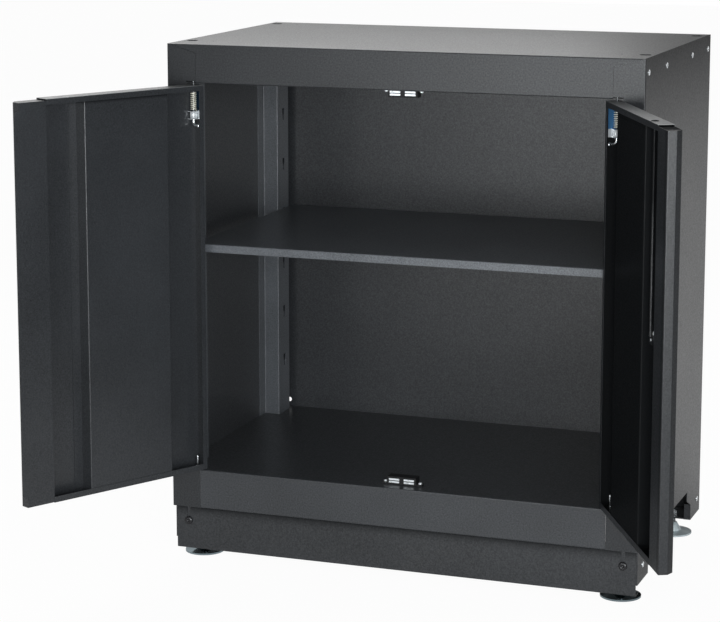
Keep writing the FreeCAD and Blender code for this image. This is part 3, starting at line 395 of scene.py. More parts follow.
def powder_coat(name, colour, roughness, grain, door=None, dull=0.0, shades=()):
    """Fine-textured powder coat: a slow drift and a fine grain vary shade and gloss, the grain dimples it.
    On a door the upper flange is painted pale towards the free end as a painted sheen, and painted shade may
    darken the inside of the tray and the free end.
    Each shade darkens the coat with painted shade by an amount where all its ramps have risen; a ramp is a
    direction, a start and a width."""
    material, start = fresh_material(name)
    place = start.make("ShaderNodeTexCoord", out="Object")
    drift = place.noise(COAT_DRIFT, 3.0)
    grit = place.noise(1.0 / grain, 2.0, 0.6)
    mottle = place.noise(0.8 / grain, 1.0)
    shade = (drift * 0.3 + grit * 0.7 - 0.5) * COAT_CONTRAST + 0.5
    tone = shade.tint(scaled(colour, COAT_DARK), scaled(colour, COAT_PALE))
    painted_shade = drift * 0.0      # a wire at nought, to which the shades are added
    for amount, ramps in shades:
        share = amount
        for way, first, wide in ramps:
            share = place.along(ORIGIN, way).step(first, wide).power(2.0) * share
        painted_shade = painted_shade + share
    if door:
        hinge = door_point(door, 0, 0, 0)
        reach = place.along(hinge, door_point(door, 1.0, 0, 0) - hinge)
        top = node_box("door_skin_" + door)[1][2]
        edge = place.along(ORIGIN, UP).step(top - FLANGE_DROP, FLANGE_RAMP)
        # Painted sheen: the top flange is painted paler towards the free end
        painted_sheen = edge * reach.step(SHEEN_START, SHEEN_RUN)
        tone = (painted_sheen * (0.6 + grit * 0.5)).tint(tone, PAINTED_SHEEN_COLOUR)
        # Painted shade inside the tray and on the free end, kept off the top flange
        deep = place.along(hinge, door_point(door, 0, 1.0, 0) - hinge)
        within = deep.step(TRAY_FLOOR, DEPTH_RAMP) * (1.0 - deep.step(TRAY_RIM, DEPTH_RAMP))
        tray = within * (1.0 - reach.step(TRAY_END, REACH_RAMP))
        free = reach.step(FREE_START, REACH_RAMP) * FREE_END_PAINTED_SHADE
        painted_shade = painted_shade + (tray + free) * (1.0 - edge) * dull * (0.85 + grit * 0.3)
    finish_material(start, {
        "Base Color": tone,
        "Roughness": roughness - 0.09 + drift * 0.06 + grit * 0.12,
        "IOR": 1.5,
        "Specular IOR Level": 0.42,
        "Coat Weight": ((mottle - 0.5) * 1.4 + 0.25).at_least(0.0).at_most(0.8),
        "Coat Roughness": 0.34,
        "Normal": grit.bump(0.35, 0.0005),
    }, painted_shade.at_most(PAINTED_SHADE_LIMIT))
    return material


def zinc_plate(name, colour, roughness, streak=(1.0, 1.0, 1.0), metal=1.0, above=None):
    """Bright zinc plating: drawn streaks and a cloudy passivation film over clean metal. Above a given
    level the metal takes another colour, which callers use for the brackets' blue film and for painted
    shade."""
    material, start = fresh_material(name)
    place = start.make("ShaderNodeTexCoord", out="Object")
    cloud = place.noise(130.0, 3.0)
    film = place.noise(45.0, 2.0)
    brushed = place.stretched(*streak).noise(900.0, 2.0)
    tone = (cloud * 0.6 + film * 0.4).tint(scaled(colour, 0.78), scaled(colour, 1.14))
    if above:
        tone = place.along(ORIGIN, UP).step(above[0], COLOUR_BREAK).tint(tone, above[1])
    finish_material(start, {
        "Base Color": tone,
        "Metallic": metal,
        "Roughness": roughness - 0.05 + cloud * 0.08 + brushed * 0.06,
        "Normal": (brushed * 0.5 + cloud * 0.5).bump(0.08, 0.0002),
    })
    return material


def moulded_black(name, colour, roughness=0.38, ior=1.36):
    """Moulded black plastic with a fine spark-eroded grain."""
    material, start = fresh_material(name)
    place = start.make("ShaderNodeTexCoord", out="Object")
    grain = place.noise(1600.0, 2.0, 0.6)
    haze = place.noise(90.0, 2.0)
    finish_material(start, {
        "Base Color": haze.tint(scaled(colour, 0.8), scaled(colour, 1.25)),
        "Roughness": roughness + grain * 0.12,
        "IOR": ior,
        "Normal": grain.bump(0.15, 0.0002),
    })
    return material


def blackened_screw(name):
    """Blackened steel of the plinth screws, rubbed brighter in places."""
    material, start = fresh_material(name)
    place = start.make("ShaderNodeTexCoord", out="Object")
    rub = place.noise(420.0, 3.0)
    finish_material(start, {
        "Base Color": rub.tint((0.008, 0.008, 0.009), (0.05, 0.05, 0.053)),
        "Metallic": 0.5,
        "Roughness": 0.14 + rub * 0.14,
        "Normal": rub.bump(0.08, 0.0002),
    })
    return material


def coat_nodes(names, material):
    """Puts one material into every slot of the named CAD pieces."""
    for name in names:
        piece = NODES[name]
        if not piece.material_slots:
            piece.data.materials.append(None)
        for slot in piece.material_slots:
            slot.material = material


# ---------------------------------------------------------------- surfaces

def rings_to_faces(rings, around):
    """Quads between neighbouring rings of a grid whose second index runs round and closes on itself."""
    ring = np.arange(rings - 1)[:, None] * around
    step = np.arange(around)[None, :]
    after = (step + 1) % around
    quads = np.stack([ring + step, ring + after, ring + around + after, ring + around + step], axis=-1)
    return quads.reshape(-1, 4)


def closed_surface(grid):
    """A ringed grid (rings, around, 3) shut by a fan at each end, as points, quads and triangles."""
    rings, around = grid.shape[:2]
    points = np.concatenate([grid.reshape(-1, 3), grid[0].mean(0)[None], grid[-1].mean(0)[None]])
    step = np.arange(around)
    after = (step + 1) % around
    low = np.stack([np.full(around, rings * around), after, step], axis=-1)
    last = (rings - 1) * around
    high = np.stack([np.full(around, rings * around + 1), last + step, last + after], axis=-1)
    return points, rings_to_faces(rings, around), np.concatenate([low, high])


def torus_surface(grid):
    """A grid (rings, around, 3) that closes on itself both ways, as points, quads and no triangles."""
    rings, around = grid.shape[:2]
    points = grid.reshape(-1, 3)
    quads = rings_to_faces(rings + 1, around) % (rings * around)
    return points, quads, np.zeros((0, 3), int)


def outward(points, quads, triangles):
    """Turns every face round where the surface's signed volume is negative."""
    halves = np.concatenate([quads[:, [0, 1, 2]], quads[:, [0, 2, 3]], triangles])
    a, b, c = (points[halves[:, i]] for i in range(3))
    if np.einsum("ij,ij->i", a, np.cross(b, c)).sum() < 0:
        quads, triangles = quads[:, ::-1], triangles[:, ::-1]
    return points, quads, triangles


def joined(surfaces):
    """Several surfaces as one: points end to end, with the face numbers moved along."""
    points, quads, triangles, start = [], [], [], 0
    for piece in surfaces:
        p, q, t = outward(*piece)
        points.append(p)
        quads.append(q + start)
        triangles.append(t + start)
        start += len(p)
    return np.concatenate(points), np.concatenate(quads), np.concatenate(triangles)


def add_piece(name, surfaces, body, material):
    """One object from closed surfaces, smooth shaded, with one material.
    It rides on a body if one is named."""
    points, quads, triangles = joined(surfaces)
    mesh = bpy.data.meshes.new(name)
    mesh.from_pydata(points.tolist(), [], quads.tolist() + triangles.tolist())
    mesh.polygons.foreach_set("use_smooth", np.ones(len(mesh.polygons), bool))
    mesh.update()
    mesh.materials.append(material)
    piece = bpy.data.objects.new(name, mesh)
    bpy.context.scene.collection.objects.link(piece)
    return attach(piece, body) if body else piece


def frame_axes(axis):
    """Two unit vectors square to an axis, and the axis itself."""
    axis = np.asarray(axis, float) / np.linalg.norm(axis)
    helper = np.array([1.0, 0, 0]) if abs(axis[0]) < 0.9 else np.array([0, 1.0, 0])
    first = np.cross(axis, helper)
    first /= np.linalg.norm(first)
    return first, np.cross(axis, first), axis


def turned(profile, centre, axis, around):
    """A profile of (radius, height) pairs carried round an axis through a centre, as a ringed grid."""
    profile = np.asarray(profile, float)
    u, v, w = frame_axes(axis)
    angle = np.linspace(0, 2 * np.pi, around, endpoint=False)
    spoke = np.cos(angle)[:, None] * u + np.sin(angle)[:, None] * v
    return np.asarray(centre) + profile[:, None, :1] * spoke + profile[:, None, 1:] * w


def thread(centre, low, high, radius, pitch, depth, around):
    """Screw thread: the radius rises and falls as a triangle wave of height / pitch less the turn."""
    steps = max(int((high - low) / pitch * 8), 8)
    height = np.linspace(low, high, steps)[:, None]
    angle = np.linspace(0, 2 * np.pi, around, endpoint=False)[None, :]
    phase = (height / pitch - angle / (2 * np.pi)) % 1.0
    reach = radius + depth * (1 - np.abs(2 * phase - 1))
    x = centre[0] + reach * np.cos(angle)
    y = centre[1] + reach * np.sin(angle)
    return np.stack([x, y, np.broadcast_to(height, x.shape)], axis=-1)


def cross_dome(centre, axis, radius, rise, recess, around):
    """Domed screw head: height falls with the square of the radius, less a cross where either
    plan coordinate is smaller than half the recess width."""
    u, v, w = frame_axes(axis)
    r = np.linspace(1.0, 0.02, 26)[:, None] * radius
    angle = np.linspace(0, 2 * np.pi, around, endpoint=False)[None, :]
    p, q = r * np.cos(angle), r * np.sin(angle)
    arm = np.minimum(np.abs(p), np.abs(q))
    inside = 1 / (1 + np.exp((arm - recess / 2) / (recess * 0.09)))
    inside = inside / (1 + np.exp((np.hypot(p, q) - radius * 0.62) / (radius * 0.05)))
    height = rise * (1 - (np.hypot(p, q) / radius) ** 2) - rise * 1.1 * inside
    height[0] = -rise * 0.3
    return np.asarray(centre) + p[..., None] * u + q[..., None] * v + height[..., None] * w


def rod_axis():
    """Plan position of the lock rod's axis: the middle of the points of its upper end."""
    mesh = NODES["lock_rod"].data
    points = np.empty(len(mesh.vertices) * 3)
    mesh.vertices.foreach_get("co", points)
    turn = np.array(NODES["lock_rod"].matrix_world)
    points = points.reshape(-1, 3) @ turn[:3, :3].T + turn[:3, 3]
    upper = points[points[:, 2] > points[:, 2].max() - 0.002, :2]
    return (upper.min(0) + upper.max(0)) / 2


def socket_dome(centre, axis, radius, reach, around):
    """Round screw head: a profile that swells to its reach, curves over and drops into the socket."""
    profile = np.array([(1.0, -0.40), (1.0, -0.28), (0.96, -0.12), (0.86, 0.02), (0.70, 0.10), (0.52, 0.13),
                        (0.35, 0.11), (0.30, 0.04), (0.28, -0.12), (0.01, -0.13)])
    return turned(profile * (radius * reach), centre, axis, around)


def ball_end(centre, axis, radius, around):
    """Rounded end: a half ball with a short straight skirt behind it."""
    angle = np.linspace(0, np.pi / 2, 14)
    radii = np.concatenate([[0.86, 1.0], np.cos(angle)[1:-1], [0.02]]) * radius
    heights = np.concatenate([[-0.9, -0.35], np.sin(angle)[1:-1], [1.0]]) * radius
    return turned(np.stack([radii, heights], axis=-1), centre, axis, around)


def coil(centre, low, high, radius, wire, turns, around):
    """Round wire along a helix: the angle and the level rise evenly, and each ring of the tube stands across
    the helix, spanned by the outward spoke and its cross product with the helix's direction."""
    turn = np.linspace(0, 2 * np.pi * turns, int(turns * 40) + 1)
    spoke = np.stack([np.cos(turn), np.sin(turn), np.zeros_like(turn)], axis=-1)
    climb = (high - low - 2 * wire) / turn[-1]
    line = np.asarray(centre) * (1, 1, 0) + radius * spoke
    line[:, 2] = low + wire + climb * turn
    way = np.stack([-radius * np.sin(turn), radius * np.cos(turn), np.full_like(turn, climb)], axis=-1)
    across = np.cross(spoke, way / np.linalg.norm(way, axis=1, keepdims=True))
    angle = np.linspace(0, 2 * np.pi, around, endpoint=False)
    ring = np.cos(angle)[None, :, None] * spoke[:, None] + np.sin(angle)[None, :, None] * across[:, None]
    return line[:, None] + wire * ring


def guide_sleeve(centre, along, low, high, half, bore, around):
    """Sleeve: outside, the radius follows a rounded square (fourth powers of cosine and sine sum to one);
    inside, a round bore; the closed profile runs up the outside and down the bore."""
    angle = np.linspace(0, 2 * np.pi, around, endpoint=False)
    u = np.asarray(along, float) / np.linalg.norm(along)
    v = np.cross((0, 0, 1.0), u)
    spoke = np.cos(angle)[:, None] * u + np.sin(angle)[:, None] * v
    square = half / (np.cos(angle) ** 4 + np.sin(angle) ** 4) ** 0.25
    edge = square - SLEEVE_BEVEL
    hole = np.full(around, bore)
    reach = np.stack([edge, square, square, edge, hole, hole])
    level = np.array([low, low + SLEEVE_BEVEL, high - SLEEVE_BEVEL, high, high, low])
    grid = np.asarray(centre) * (1, 1, 0) + reach[..., None] * spoke
    grid[..., 2] = level[:, None]
    return grid


def rolled_ring(centre, axis, inner, outer, rise, around):
    """Rolled rim: an ellipse whose width runs from the inner to the outer radius, carried round an axis."""
    turn = np.linspace(0, 2 * np.pi, 20, endpoint=False)
    radius = (inner + outer) / 2 + (outer - inner) / 2 * np.cos(turn)
    return turned(np.stack([radius, rise * np.sin(turn)], axis=-1), centre, axis, around)


def door_point(side, along, deep, up):
    """Where a point of a door lies in the open rest pose; it is given from the hinge axis as if shut."""
    joint = hinge_joint(side)
    pivot = np.array(joint["pos_m"], float)
    way = 1.0 if side == "left" else -1.0
    swing = abs(math.radians(joint["range_deg"][1] - joint["range_deg"][0]))
    cos, sin = math.cos(swing), math.sin(swing)
    x = pivot[0] + way * (along * cos + deep * sin)
    y = pivot[1] - along * sin + deep * cos
    return np.array([x, y, up])


def node_box(name):
    low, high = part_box(name)
    return np.array(low), np.array(high)


# ---------------------------------------------------------------- operators

class CABINET_OT_sheet_metal(bpy.types.Operator):
    """Powder coat on the carcass, the shelf, the doors and the foot brackets"""

    bl_idname = "cabinet.sheet_metal"
    bl_label = "Coat the sheet metal"

    def execute(self, context):
        finish = context.scene.cabinet_finish
        colour = tuple(finish.coat_colour)
        gloss, grain = finish.coat_gloss, finish.coat_grain
        # Painted shade on the front faces, on the sides towards the top, and on the plinth under the floor
        # panel
        front = (finish.front_shade, [(AHEAD, *FRONT_FACE)])
        sides = (finish.side_shade, [(UP, *SIDE_TOP), (BACK, *BEHIND_STILE)])
        gap = node_box("floor_panel")[0][2]
        plinth = (GAP_SHADE, [(UP, gap + PLINTH_SHADOW[0], PLINTH_SHADOW[1])])
        # The floor panel, shelf and posts take paler copies of the coat as painted light
        for names, word, share, shades in (
                (["back_panel"], "anthracite_coat", 1.0, []),
                (["floor_panel"], "anthracite_coat_floor", FLOOR_PAINTED_LIGHT, []),
                (["top_panel"], "anthracite_coat_top", 1.0, [front]),
                (["side_panel_left", "side_panel_right"], "anthracite_coat_sides", 1.0, [front, sides]),
                (["plinth_panel"], "anthracite_coat_plinth", 1.0, [plinth]),
                (["shelf"], "anthracite_coat_shelf", SHELF_PAINTED_LIGHT, []),
                (POSTS, "anthracite_coat_posts", POST_PAINTED_LIGHT, [])):
            coat_nodes(names, powder_coat(word, scaled(colour, share), gloss, grain, shades=shades))
        # Each door takes its own paler or darker share of the coat as painted light and shade
        for side, dull in (("left", 0.0), ("right", finish.tray_painted_shade)):
            top = node_box("door_skin_" + side)[1][2]
            rib = (GAP_SHADE, [(UP, top + RIB_SHADOW[0], RIB_SHADOW[1])])
            for piece, shades in (("door_skin_", []), ("door_stiffener_", [rib])):
                coat = powder_coat("anthracite_coat_" + piece + side, scaled(colour, DOOR_PAINTED_LIGHT[side]),
                                   gloss - 0.02, grain, side, dull, shades)
                coat_nodes([piece + side], coat)
        coat_nodes(FOOT_BRACKETS, powder_coat("bracket_coat", scaled(colour, BRACKET_SHARE), 0.45, grain))
        return {"FINISHED"}


class CABINET_OT_plated_parts(bpy.types.Operator):
    """Zinc on the feet, nuts, inserts, pivots, bolts and lock pieces"""

    bl_idname = "cabinet.plated_parts"
    bl_label = "Plate the hardware"

    def execute(self, context):
        finish = context.scene.cabinet_finish
        zinc = tuple(finish.zinc_colour)
        coat_nodes(PLATED, zinc_plate("bright_zinc", zinc, 0.22, (1.0, 1.0, 0.08)))
        # One zinc foot in two copies: the front feet painted darker as painted shade, the rear feet paler as
        # painted light
        coat_nodes(FEET[:2], zinc_plate("front_foot_zinc_painted_shade", (0.36, 0.45, 0.49), 0.13))
        coat_nodes(FEET[2:], zinc_plate("rear_foot_zinc_painted_light", (0.66, 0.75, 0.78), 0.16, metal=0.5))
        ear = node_box("hinge_spring_left")[0][2]
        # The blue film above the ear is real; on the left bracket it is darkened as painted shade
        for side, film in (("left", 0.12), ("right", 1.0)):
            coat_nodes(["hinge_bracket_" + side],
                       zinc_plate("blue_zinc_" + side, zinc, 0.16, (1.0, 1.0, 0.1), 0.5,
                                  above=(ear - COLOUR_BREAK, scaled(tuple(finish.bracket_colour), film))))
        # Above the ear the bolts are painted dark as painted shade
        coat_nodes(["hinge_bolt_left", "hinge_bolt_right"],
                   zinc_plate("bolt_zinc_painted_shade", zinc, 0.24, above=(ear - COLOUR_BREAK, scaled(zinc, 0.12))))
        coat_nodes(["lock_body", "lock_plug"], zinc_plate("lock_nickel", (0.42, 0.41, 0.39), 0.22))
        coat_nodes(["lock_nut", "lock_cam"], zinc_plate("lock_zinc", scaled(zinc, 1.15), 0.28, metal=0.3))
        coat_nodes(["plinth_screws"], blackened_screw("blackened_screw"))
        low, high = node_box("lock_rod")
        length = high[2] - low[2]
        upper = (UP, low[2] + ROD_START * length, ROD_RUN * length)
        coat_nodes(["lock_rod"], powder_coat("rod_coat", scaled(tuple(finish.coat_colour), ROD_SHARE), 0.24,
                                             0.0009, shades=[(ROD_SHADE, [upper])]))
        return {"FINISHED"}


class CABINET_OT_catches(bpy.types.Operator):
    """Moulded housings, steel plates and domed screws of the two magnetic catches"""

    bl_idname = "cabinet.catches"
    bl_label = "Finish the catches"

    def execute(self, context):
        finish = context.scene.cabinet_finish
        hardware = context.scene.cabinet_hardware
        coat_nodes(["catch_housing_upper", "catch_housing_lower"],
                   moulded_black("catch_plastic", scaled(tuple(finish.housing_colour), 0.5)))
        steel = zinc_plate("catch_steel", scaled(tuple(finish.zinc_colour), 1.1), 0.26, (0.1, 1.0, 1.0), 0.5)
        coat_nodes(CATCH_METAL, steel)
        for word, way in (("lower", 1.0), ("upper", -1.0)):
            low, high = node_box("catch_screws_" + word)
            middle = (low[1] + high[1]) / 2
            radius = (high[1] - low[1]) / 2
            level = high[2] if way > 0 else low[2]
            spots = [low[0] + radius, high[0] - radius]
            domes = [closed_surface(cross_dome((x, middle, level), (0, 0, way), radius,
                                               hardware.dome_height, hardware.recess_width,
                                               hardware.around)) for x in spots]
            add_piece("catch_screw_domes_" + word, domes, "carcass", steel)
        return {"FINISHED"}


class CABINET_OT_foot_threads(bpy.types.Operator):
    """Screw threads on the studs of the four feet, below and above their brackets"""

    bl_idname = "cabinet.foot_threads"
    bl_label = "Thread the foot studs"

    def execute(self, context):
        finish = context.scene.cabinet_finish
        hardware = context.scene.cabinet_hardware
        steel = zinc_plate("stud_thread_zinc", tuple(finish.zinc_colour), 0.24)
        _, nut_high = node_box("foot_nuts")
        for corner in CORNERS:
            low, high = node_box("foot_" + corner)
            seat, _ = node_box("foot_bracket_" + corner)
            centre = (low + high) / 2
            runs = [(HUB_TOP, seat[2] - THREAD_GAP), (nut_high[2] + THREAD_GAP, high[2] - STUD_END)]
            threads = [closed_surface(thread(centre, start, stop, STUD_RADIUS, hardware.thread_pitch,
                                             hardware.thread_depth, hardware.around))
                       for start, stop in runs]
            add_piece("stud_thread_" + corner, threads, "foot_" + corner, steel)
        return {"FINISHED"}


class CABINET_OT_insert_rims(bpy.types.Operator):
    """Rolled rims of the threaded inserts in both side panels"""

    bl_idname = "cabinet.insert_rims"
    bl_label = "Roll the insert rims"

    def execute(self, context):
        finish = context.scene.cabinet_finish
        hardware = context.scene.cabinet_hardware
        steel = zinc_plate("insert_zinc", scaled(tuple(finish.zinc_colour), 1.2), 0.3, metal=0.3)
        depth = CAD_BOX[1][1]
        top = CAD_BOX[1][2] - INSERT_DROP
        spots = [(INSERT_EDGE, top), (INSERT_SECOND, top), (depth - INSERT_SECOND, top),
                 (depth - INSERT_EDGE, top), (INSERT_LEG_FRONT, INSERT_LEG_LEVEL),
                 (depth - INSERT_LEG_REAR, INSERT_LEG_LEVEL)]
        for side, way in (("left", -1.0), ("right", 1.0)):
            low, high = node_box("module_inserts_" + side)
            face = high[0] if way > 0 else low[0]
            rims = [torus_surface(rolled_ring((face, y, z), (way, 0, 0), INSERT_INNER, INSERT_OUTER,
                                              hardware.rim_rise / 2, hardware.around)) for y, z in spots]
            add_piece("insert_rims_" + side, rims, "carcass", steel)
        return {"FINISHED"}


class CABINET_OT_hinge_ends(bpy.types.Operator):
    """Rounded ends of the hinge bolts' finger pulls and of the lower pivots"""

    bl_idname = "cabinet.hinge_ends"
    bl_label = "Round the hinge ends"

    def execute(self, context):
        finish = context.scene.cabinet_finish
        hardware = context.scene.cabinet_hardware
        steel = zinc_plate("hinge_end_zinc", scaled(tuple(finish.zinc_colour), 1.06), 0.16)
        for side in SIDES:
            level = node_box("hinge_bolt_" + side)[0][2] + PULL_LEVEL
            tip = door_point(side, 0, PULL_TIP, level)
            root = door_point(side, 0, PULL_ROOT, level)
            knob = closed_surface(ball_end(tip, tip - root, hardware.bolt_knob, hardware.around))
            add_piece("bolt_knob_" + side, [knob], side + "_bolt", steel)
            low, high = node_box("lower_pivot_" + side)
            spot = ((low[0] + high[0]) / 2, (low[1] + high[1]) / 2, high[2])
            cap = closed_surface(ball_end(spot, UP, PIVOT_CAP, hardware.around))
            add_piece("pivot_cap_" + side, [cap], side + "_door", steel)
        return {"FINISHED"}


class CABINET_OT_springs(bpy.types.Operator):
    """Coil spring of each hinge bolt between ear and collar"""

    bl_idname = "cabinet.springs"
    bl_label = "Wind the hinge springs"

    def execute(self, context):
        finish = context.scene.cabinet_finish
        hardware = context.scene.cabinet_hardware
        steel = zinc_plate("spring_wire", tuple(finish.spring_colour), 0.30, metal=0.45)
        wire = hardware.spring_wire
        for side in SIDES:
            node = "hinge_spring_" + side
            low, high = node_box(node)
            coat_nodes([node], steel)
            axis = door_point(side, 0, 0, 0)
            radius = (high[0] - low[0]) / 2 - wire
            winding = coil(axis, low[2], high[2], radius, wire, hardware.spring_turns, 12)
            spring = add_piece("coil_spring_" + side, [closed_surface(winding)], None, steel)
            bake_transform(spring)
            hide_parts(node)
        return {"FINISHED"}


class CABINET_OT_bolt_sleeves(bpy.types.Operator):
    """Bright sleeve that guides each hinge bolt between the ears of its bracket"""

    bl_idname = "cabinet.bolt_sleeves"
    bl_label = "Sleeve the hinge bolts"

    def execute(self, context):
        finish = context.scene.cabinet_finish
        hardware = context.scene.cabinet_hardware
        steel = zinc_plate("sleeve_zinc", scaled(tuple(finish.zinc_colour), 1.1), 0.28, (1.0, 1.0, 0.1), 0.5)
        for side in SIDES:
            start = node_box("hinge_bracket_" + side)[0][2] + SLEEVE_FOOT
            stop = node_box("hinge_spring_" + side)[0][2] - SLEEVE_HEAD
            along = door_point(side, 1.0, 0, 0) - door_point(side, 0, 0, 0)
            sleeve = guide_sleeve(door_point(side, 0, 0, 0), along, start, stop, hardware.sleeve_half,
                                  SLEEVE_BORE, hardware.around)
            add_piece("bolt_sleeve_" + side, [torus_surface(sleeve)], side + "_door", steel)
        return {"FINISHED"}


class CABINET_OT_lock_bezel(bpy.types.Operator):
    """Ring around the face of the lock on the right door"""

    bl_idname = "cabinet.lock_bezel"
    bl_label = "Ring the lock"

    def execute(self, context):
        hardware = context.scene.cabinet_hardware
        low, high = node_box("lock_body")
        middle = (low + high) / 2
        inside = door_point("right", 0.1, 0.1, 0) - door_point("right", 0.1, 0.0, 0)
        outside = -inside / np.linalg.norm(inside)
        reach = (high - low)[:2]
        run = np.abs(outside[:2])
        across = np.array([run[1], run[0]])
        length = (reach[0] - LOCK_FLANGE * across[0]) / run[0]
        face = middle + outside * length / 2
        ring = torus_surface(rolled_ring(face, outside, BEZEL_INNER, BEZEL_OUTER, hardware.bezel_section / 2,
                                         hardware.around))
        steel = zinc_plate("bezel_nickel", (0.50, 0.49, 0.46), 0.18)
        add_piece("lock_bezel", [ring], "right_door", steel)
        return {"FINISHED"}


class CABINET_OT_rod_bush(bpy.types.Operator):
    """Dark bush where the lock rod leaves the top of the right door"""

    bl_idname = "cabinet.rod_bush"
    bl_label = "Bush the lock rod"

    def execute(self, context):
        finish = context.scene.cabinet_finish
        hardware = context.scene.cabinet_hardware
        _, door_high = node_box("door_skin_right")
        spot = np.array([0.0, 0.0, door_high[2]])
        spot[:2] = rod_axis()
        ring = torus_surface(rolled_ring(spot, UP, BUSH_INNER, hardware.bush_reach, BUSH_RISE,
                                         hardware.around))
        add_piece("rod_bush", [ring], "right_door",
                  moulded_black("bush_plastic", scaled(tuple(finish.housing_colour), 0.3), 0.8, 1.15))
        return {"FINISHED"}


class CABINET_OT_screw_domes(bpy.types.Operator):
    """Raised round heads of the two plinth screws, each with a deep socket"""

    bl_idname = "cabinet.screw_domes"
    bl_label = "Dome the plinth screws"

    def execute(self, context):
        hardware = context.scene.cabinet_hardware
        low, high = node_box("plinth_screws")
        middle = (low[2] + high[2]) / 2
        radius = (high[2] - low[2]) / 2
        spots = [low[0] + radius, high[0] - radius]
        domes = [closed_surface(socket_dome((x, low[1], middle), (0, -1, 0), radius, hardware.socket_reach,
                                            hardware.around)) for x in spots]
        add_piece("plinth_screw_domes", domes, "carcass", blackened_screw("domed_screw"))
        return {"FINISHED"}


def area_lamp(name, place, target, wide, high, power, colour):
    """A soft rectangular lamp that faces a point."""
    light = bpy.data.lights.new(name, "AREA")
    light.shape = "RECTANGLE"
    light.size, light.size_y = wide, high
    light.energy = power
    light.color = colour
    lamp = bpy.data.objects.new(name, light)
    lamp.location = place
    way = np.asarray(target, float) - np.asarray(place, float)
    flat = math.hypot(way[0], way[1])
    lamp.rotation_euler = (math.atan2(flat, -way[2]), 0, math.atan2(way[1], way[0]) - math.pi / 2)
    bpy.context.scene.collection.objects.link(lamp)


def surround(start, place, stage, sky):
    """Share and strength of the white surround. The camera sees one. A mirror sees a level that rises from
    left to right in front and upwards, falls from left to right behind, and fades with distance along the
    floor. Other rays get the even sky."""
    rays = [start.make("ShaderNodeLightPath", out=name)
            for name in ("Is Camera Ray", "Is Transmission Ray", "Is Glossy Ray")]
    seen = (rays[0] + rays[1]).at_most(1.0)
    x = place.make("ShaderNodeSeparateXYZ", {}, {0: place}, out=0)
    y = place.make("ShaderNodeSeparateXYZ", {}, {0: place}, out=1)
    far = (x * x + y * y).power(0.5).at_least(0.01)
    bearing = x / far
    rightward = ((bearing + REAR_TURN) * REAR_GAIN).at_least(0.0).at_most(1.0)
    behind = (y * BEHIND_GAIN + BEHIND_START).at_least(0.0).at_most(1.0)
    near = (1.0 - far / FAR_FADE).at_least(0.0) if sky == 0.0 else 0.0 * far
    right = stage.right_level + near * stage.near_level
    rear = stage.left_level + rightward * (right - stage.left_level)
    rear = rear * (1.0 - bearing.step(DIM_START, DIM_WIDTH) * DIM_SHARE)
    close = (1.0 - far / CLOSE_FADE).at_least(0.0) if sky == 0.0 else 0.0 * far
    swell = AHEAD_BASE + ((bearing + AHEAD_TURN) * AHEAD_GAIN).at_least(0.0)
    ahead = stage.front_level * swell + near * AHEAD_FAR + close * AHEAD_CLOSE
    z = place.make("ShaderNodeSeparateXYZ", {}, {0: place}, out=2)
    mirrored = ahead + behind * (rear - ahead) + (z - OVER_START).at_least(0.0) * stage.over_level
    share = (seen + rays[2]).at_most(1.0)
    strength = seen + (share - seen) * mirrored.at_most(1.0) + (1.0 - share) * sky
    return share, strength


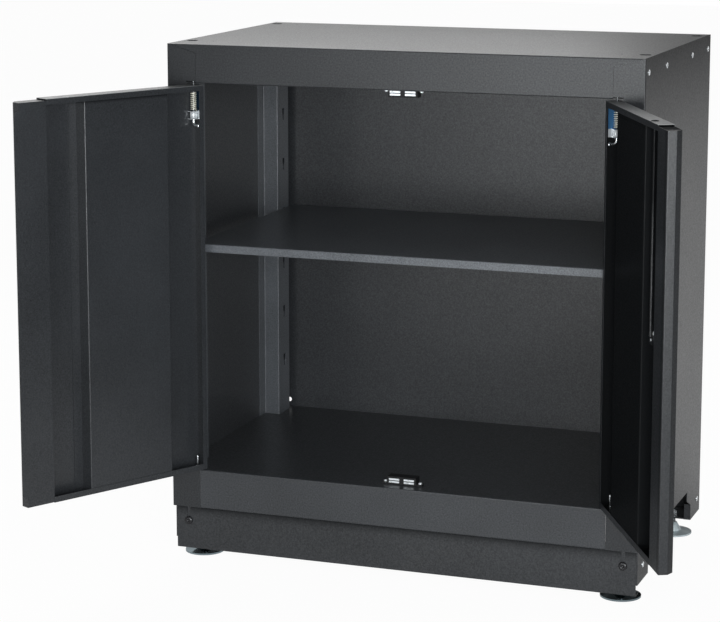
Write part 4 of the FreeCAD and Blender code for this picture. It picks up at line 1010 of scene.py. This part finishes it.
class CABINET_OT_stage(bpy.types.Operator):
    """Pale floor, soft lamps, even sky and the camera"""

    bl_idname = "cabinet.stage"
    bl_label = "Set the stage"

    def execute(self, context):
        stage = context.scene.cabinet_stage
        scene = context.scene
        scene.view_settings.view_transform = "Standard"

        mesh = bpy.data.meshes.new("floor")
        corners = ((-1, -1), (1, -1), (1, 1), (-1, 1))
        mesh.from_pydata([(x * FLOOR_HALF, y * FLOOR_HALF, FLOOR_LEVEL) for x, y in corners], [],
                         [(0, 1, 2, 3)])
        material, start = fresh_material("pale_floor")
        place = start.make("ShaderNodeTexCoord", out="Object")
        colour = tuple(stage.floor_colour)
        tone = place.noise(1.5, 2.0).tint(scaled(colour, 0.99), colour)
        matt = start.make("ShaderNodeBsdfDiffuse", {}, {"Color": tone})
        share, strength = surround(start, place, stage, 0.0)
        glow = start.make("ShaderNodeEmission", {}, {"Color": (1, 1, 1, 1), "Strength": strength})
        mix = start.make("ShaderNodeMixShader", {}, {0: share * FLOOR_GLOW, 1: matt, 2: glow})
        start.make("ShaderNodeOutputMaterial", {}, {"Surface": mix})
        mesh.materials.append(material)
        floor = bpy.data.objects.new("floor", mesh)
        scene.collection.objects.link(floor)

        world = bpy.data.worlds.new("studio")
        scene.world = world
        world.use_nodes = True
        world.node_tree.nodes.clear()
        start = Wire(world.node_tree)
        place = start.make("ShaderNodeTexCoord", out="Generated")
        _, strength = surround(start, place, stage, stage.sky_level)
        sky = start.make("ShaderNodeBackground", {}, {"Color": (1, 1, 1, 1), "Strength": strength})
        start.make("ShaderNodeOutputWorld", {}, {"Surface": sky})

        area_lamp("key_lamp", (2.1, -3.6, 0.85), (0, 0.2, 0.4), 2.0, 2.0, stage.key_power, COOL_LIGHT)
        area_lamp("fill_lamp", (-0.4, -3.9, 0.55), (0.2, 0, 0.4), 1.6, 1.3, stage.fill_power, COOL_LIGHT)
        area_lamp("top_lamp", (-1.0, 1.9, 2.2), (0.1, 0, 0.9), 2.0, 1.2, stage.top_power, WHITE_LIGHT)

        camera = bpy.data.cameras.new("camera")
        camera.sensor_width = SENSOR_WIDTH
        camera.lens = stage.camera_lens
        camera.shift_y = stage.camera_rise
        camera.clip_start, camera.clip_end = CLIP_NEAR, CLIP_FAR
        eye = bpy.data.objects.new("camera", camera)
        eye.location = stage.camera_place
        eye.rotation_euler = (math.pi / 2 - stage.camera_dip, 0, stage.camera_turn)
        scene.collection.objects.link(eye)
        scene.camera = eye
        return {"FINISHED"}


class CABINET_PT_sidebar(bpy.types.Panel):
    """Lists the cabinet's steps with the sizes and colours that they read"""

    bl_idname = "CABINET_PT_sidebar"
    bl_label = "Low cabinet"
    bl_space_type = "VIEW_3D"
    bl_region_type = "UI"
    bl_category = "Low cabinet"

    def draw(self, context):
        for step in STEPS:
            self.layout.operator(step.bl_idname)
        for group in (context.scene.cabinet_finish, context.scene.cabinet_hardware,
                      context.scene.cabinet_stage):
            for name in group.__annotations__:
                self.layout.prop(group, name)


STEPS = (
    CABINET_OT_stage, CABINET_OT_sheet_metal, CABINET_OT_plated_parts, CABINET_OT_catches,
    CABINET_OT_foot_threads, CABINET_OT_insert_rims, CABINET_OT_hinge_ends, CABINET_OT_lock_bezel,
    CABINET_OT_springs, CABINET_OT_bolt_sleeves, CABINET_OT_rod_bush, CABINET_OT_screw_domes,
)
CLASSES = (CabinetFinish, CabinetHardware, CabinetStage, *STEPS, CABINET_PT_sidebar)


def register():
    for cls in CLASSES:
        bpy.utils.register_class(cls)
    bpy.types.Scene.cabinet_finish = PointerProperty(type=CabinetFinish)
    bpy.types.Scene.cabinet_hardware = PointerProperty(type=CabinetHardware)
    bpy.types.Scene.cabinet_stage = PointerProperty(type=CabinetStage)


def unregister():
    del bpy.types.Scene.cabinet_stage
    del bpy.types.Scene.cabinet_hardware
    del bpy.types.Scene.cabinet_finish
    for cls in reversed(CLASSES):
        bpy.utils.unregister_class(cls)


def main():
    register()
    bpy.ops.cabinet.stage()
    bpy.ops.cabinet.sheet_metal()
    bpy.ops.cabinet.plated_parts()
    bpy.ops.cabinet.catches()
    bpy.ops.cabinet.foot_threads()
    bpy.ops.cabinet.insert_rims()
    bpy.ops.cabinet.hinge_ends()
    bpy.ops.cabinet.lock_bezel()
    bpy.ops.cabinet.springs()
    bpy.ops.cabinet.bolt_sleeves()
    bpy.ops.cabinet.rod_bush()
    bpy.ops.cabinet.screw_domes()


if __name__ == "__main__":
    main()
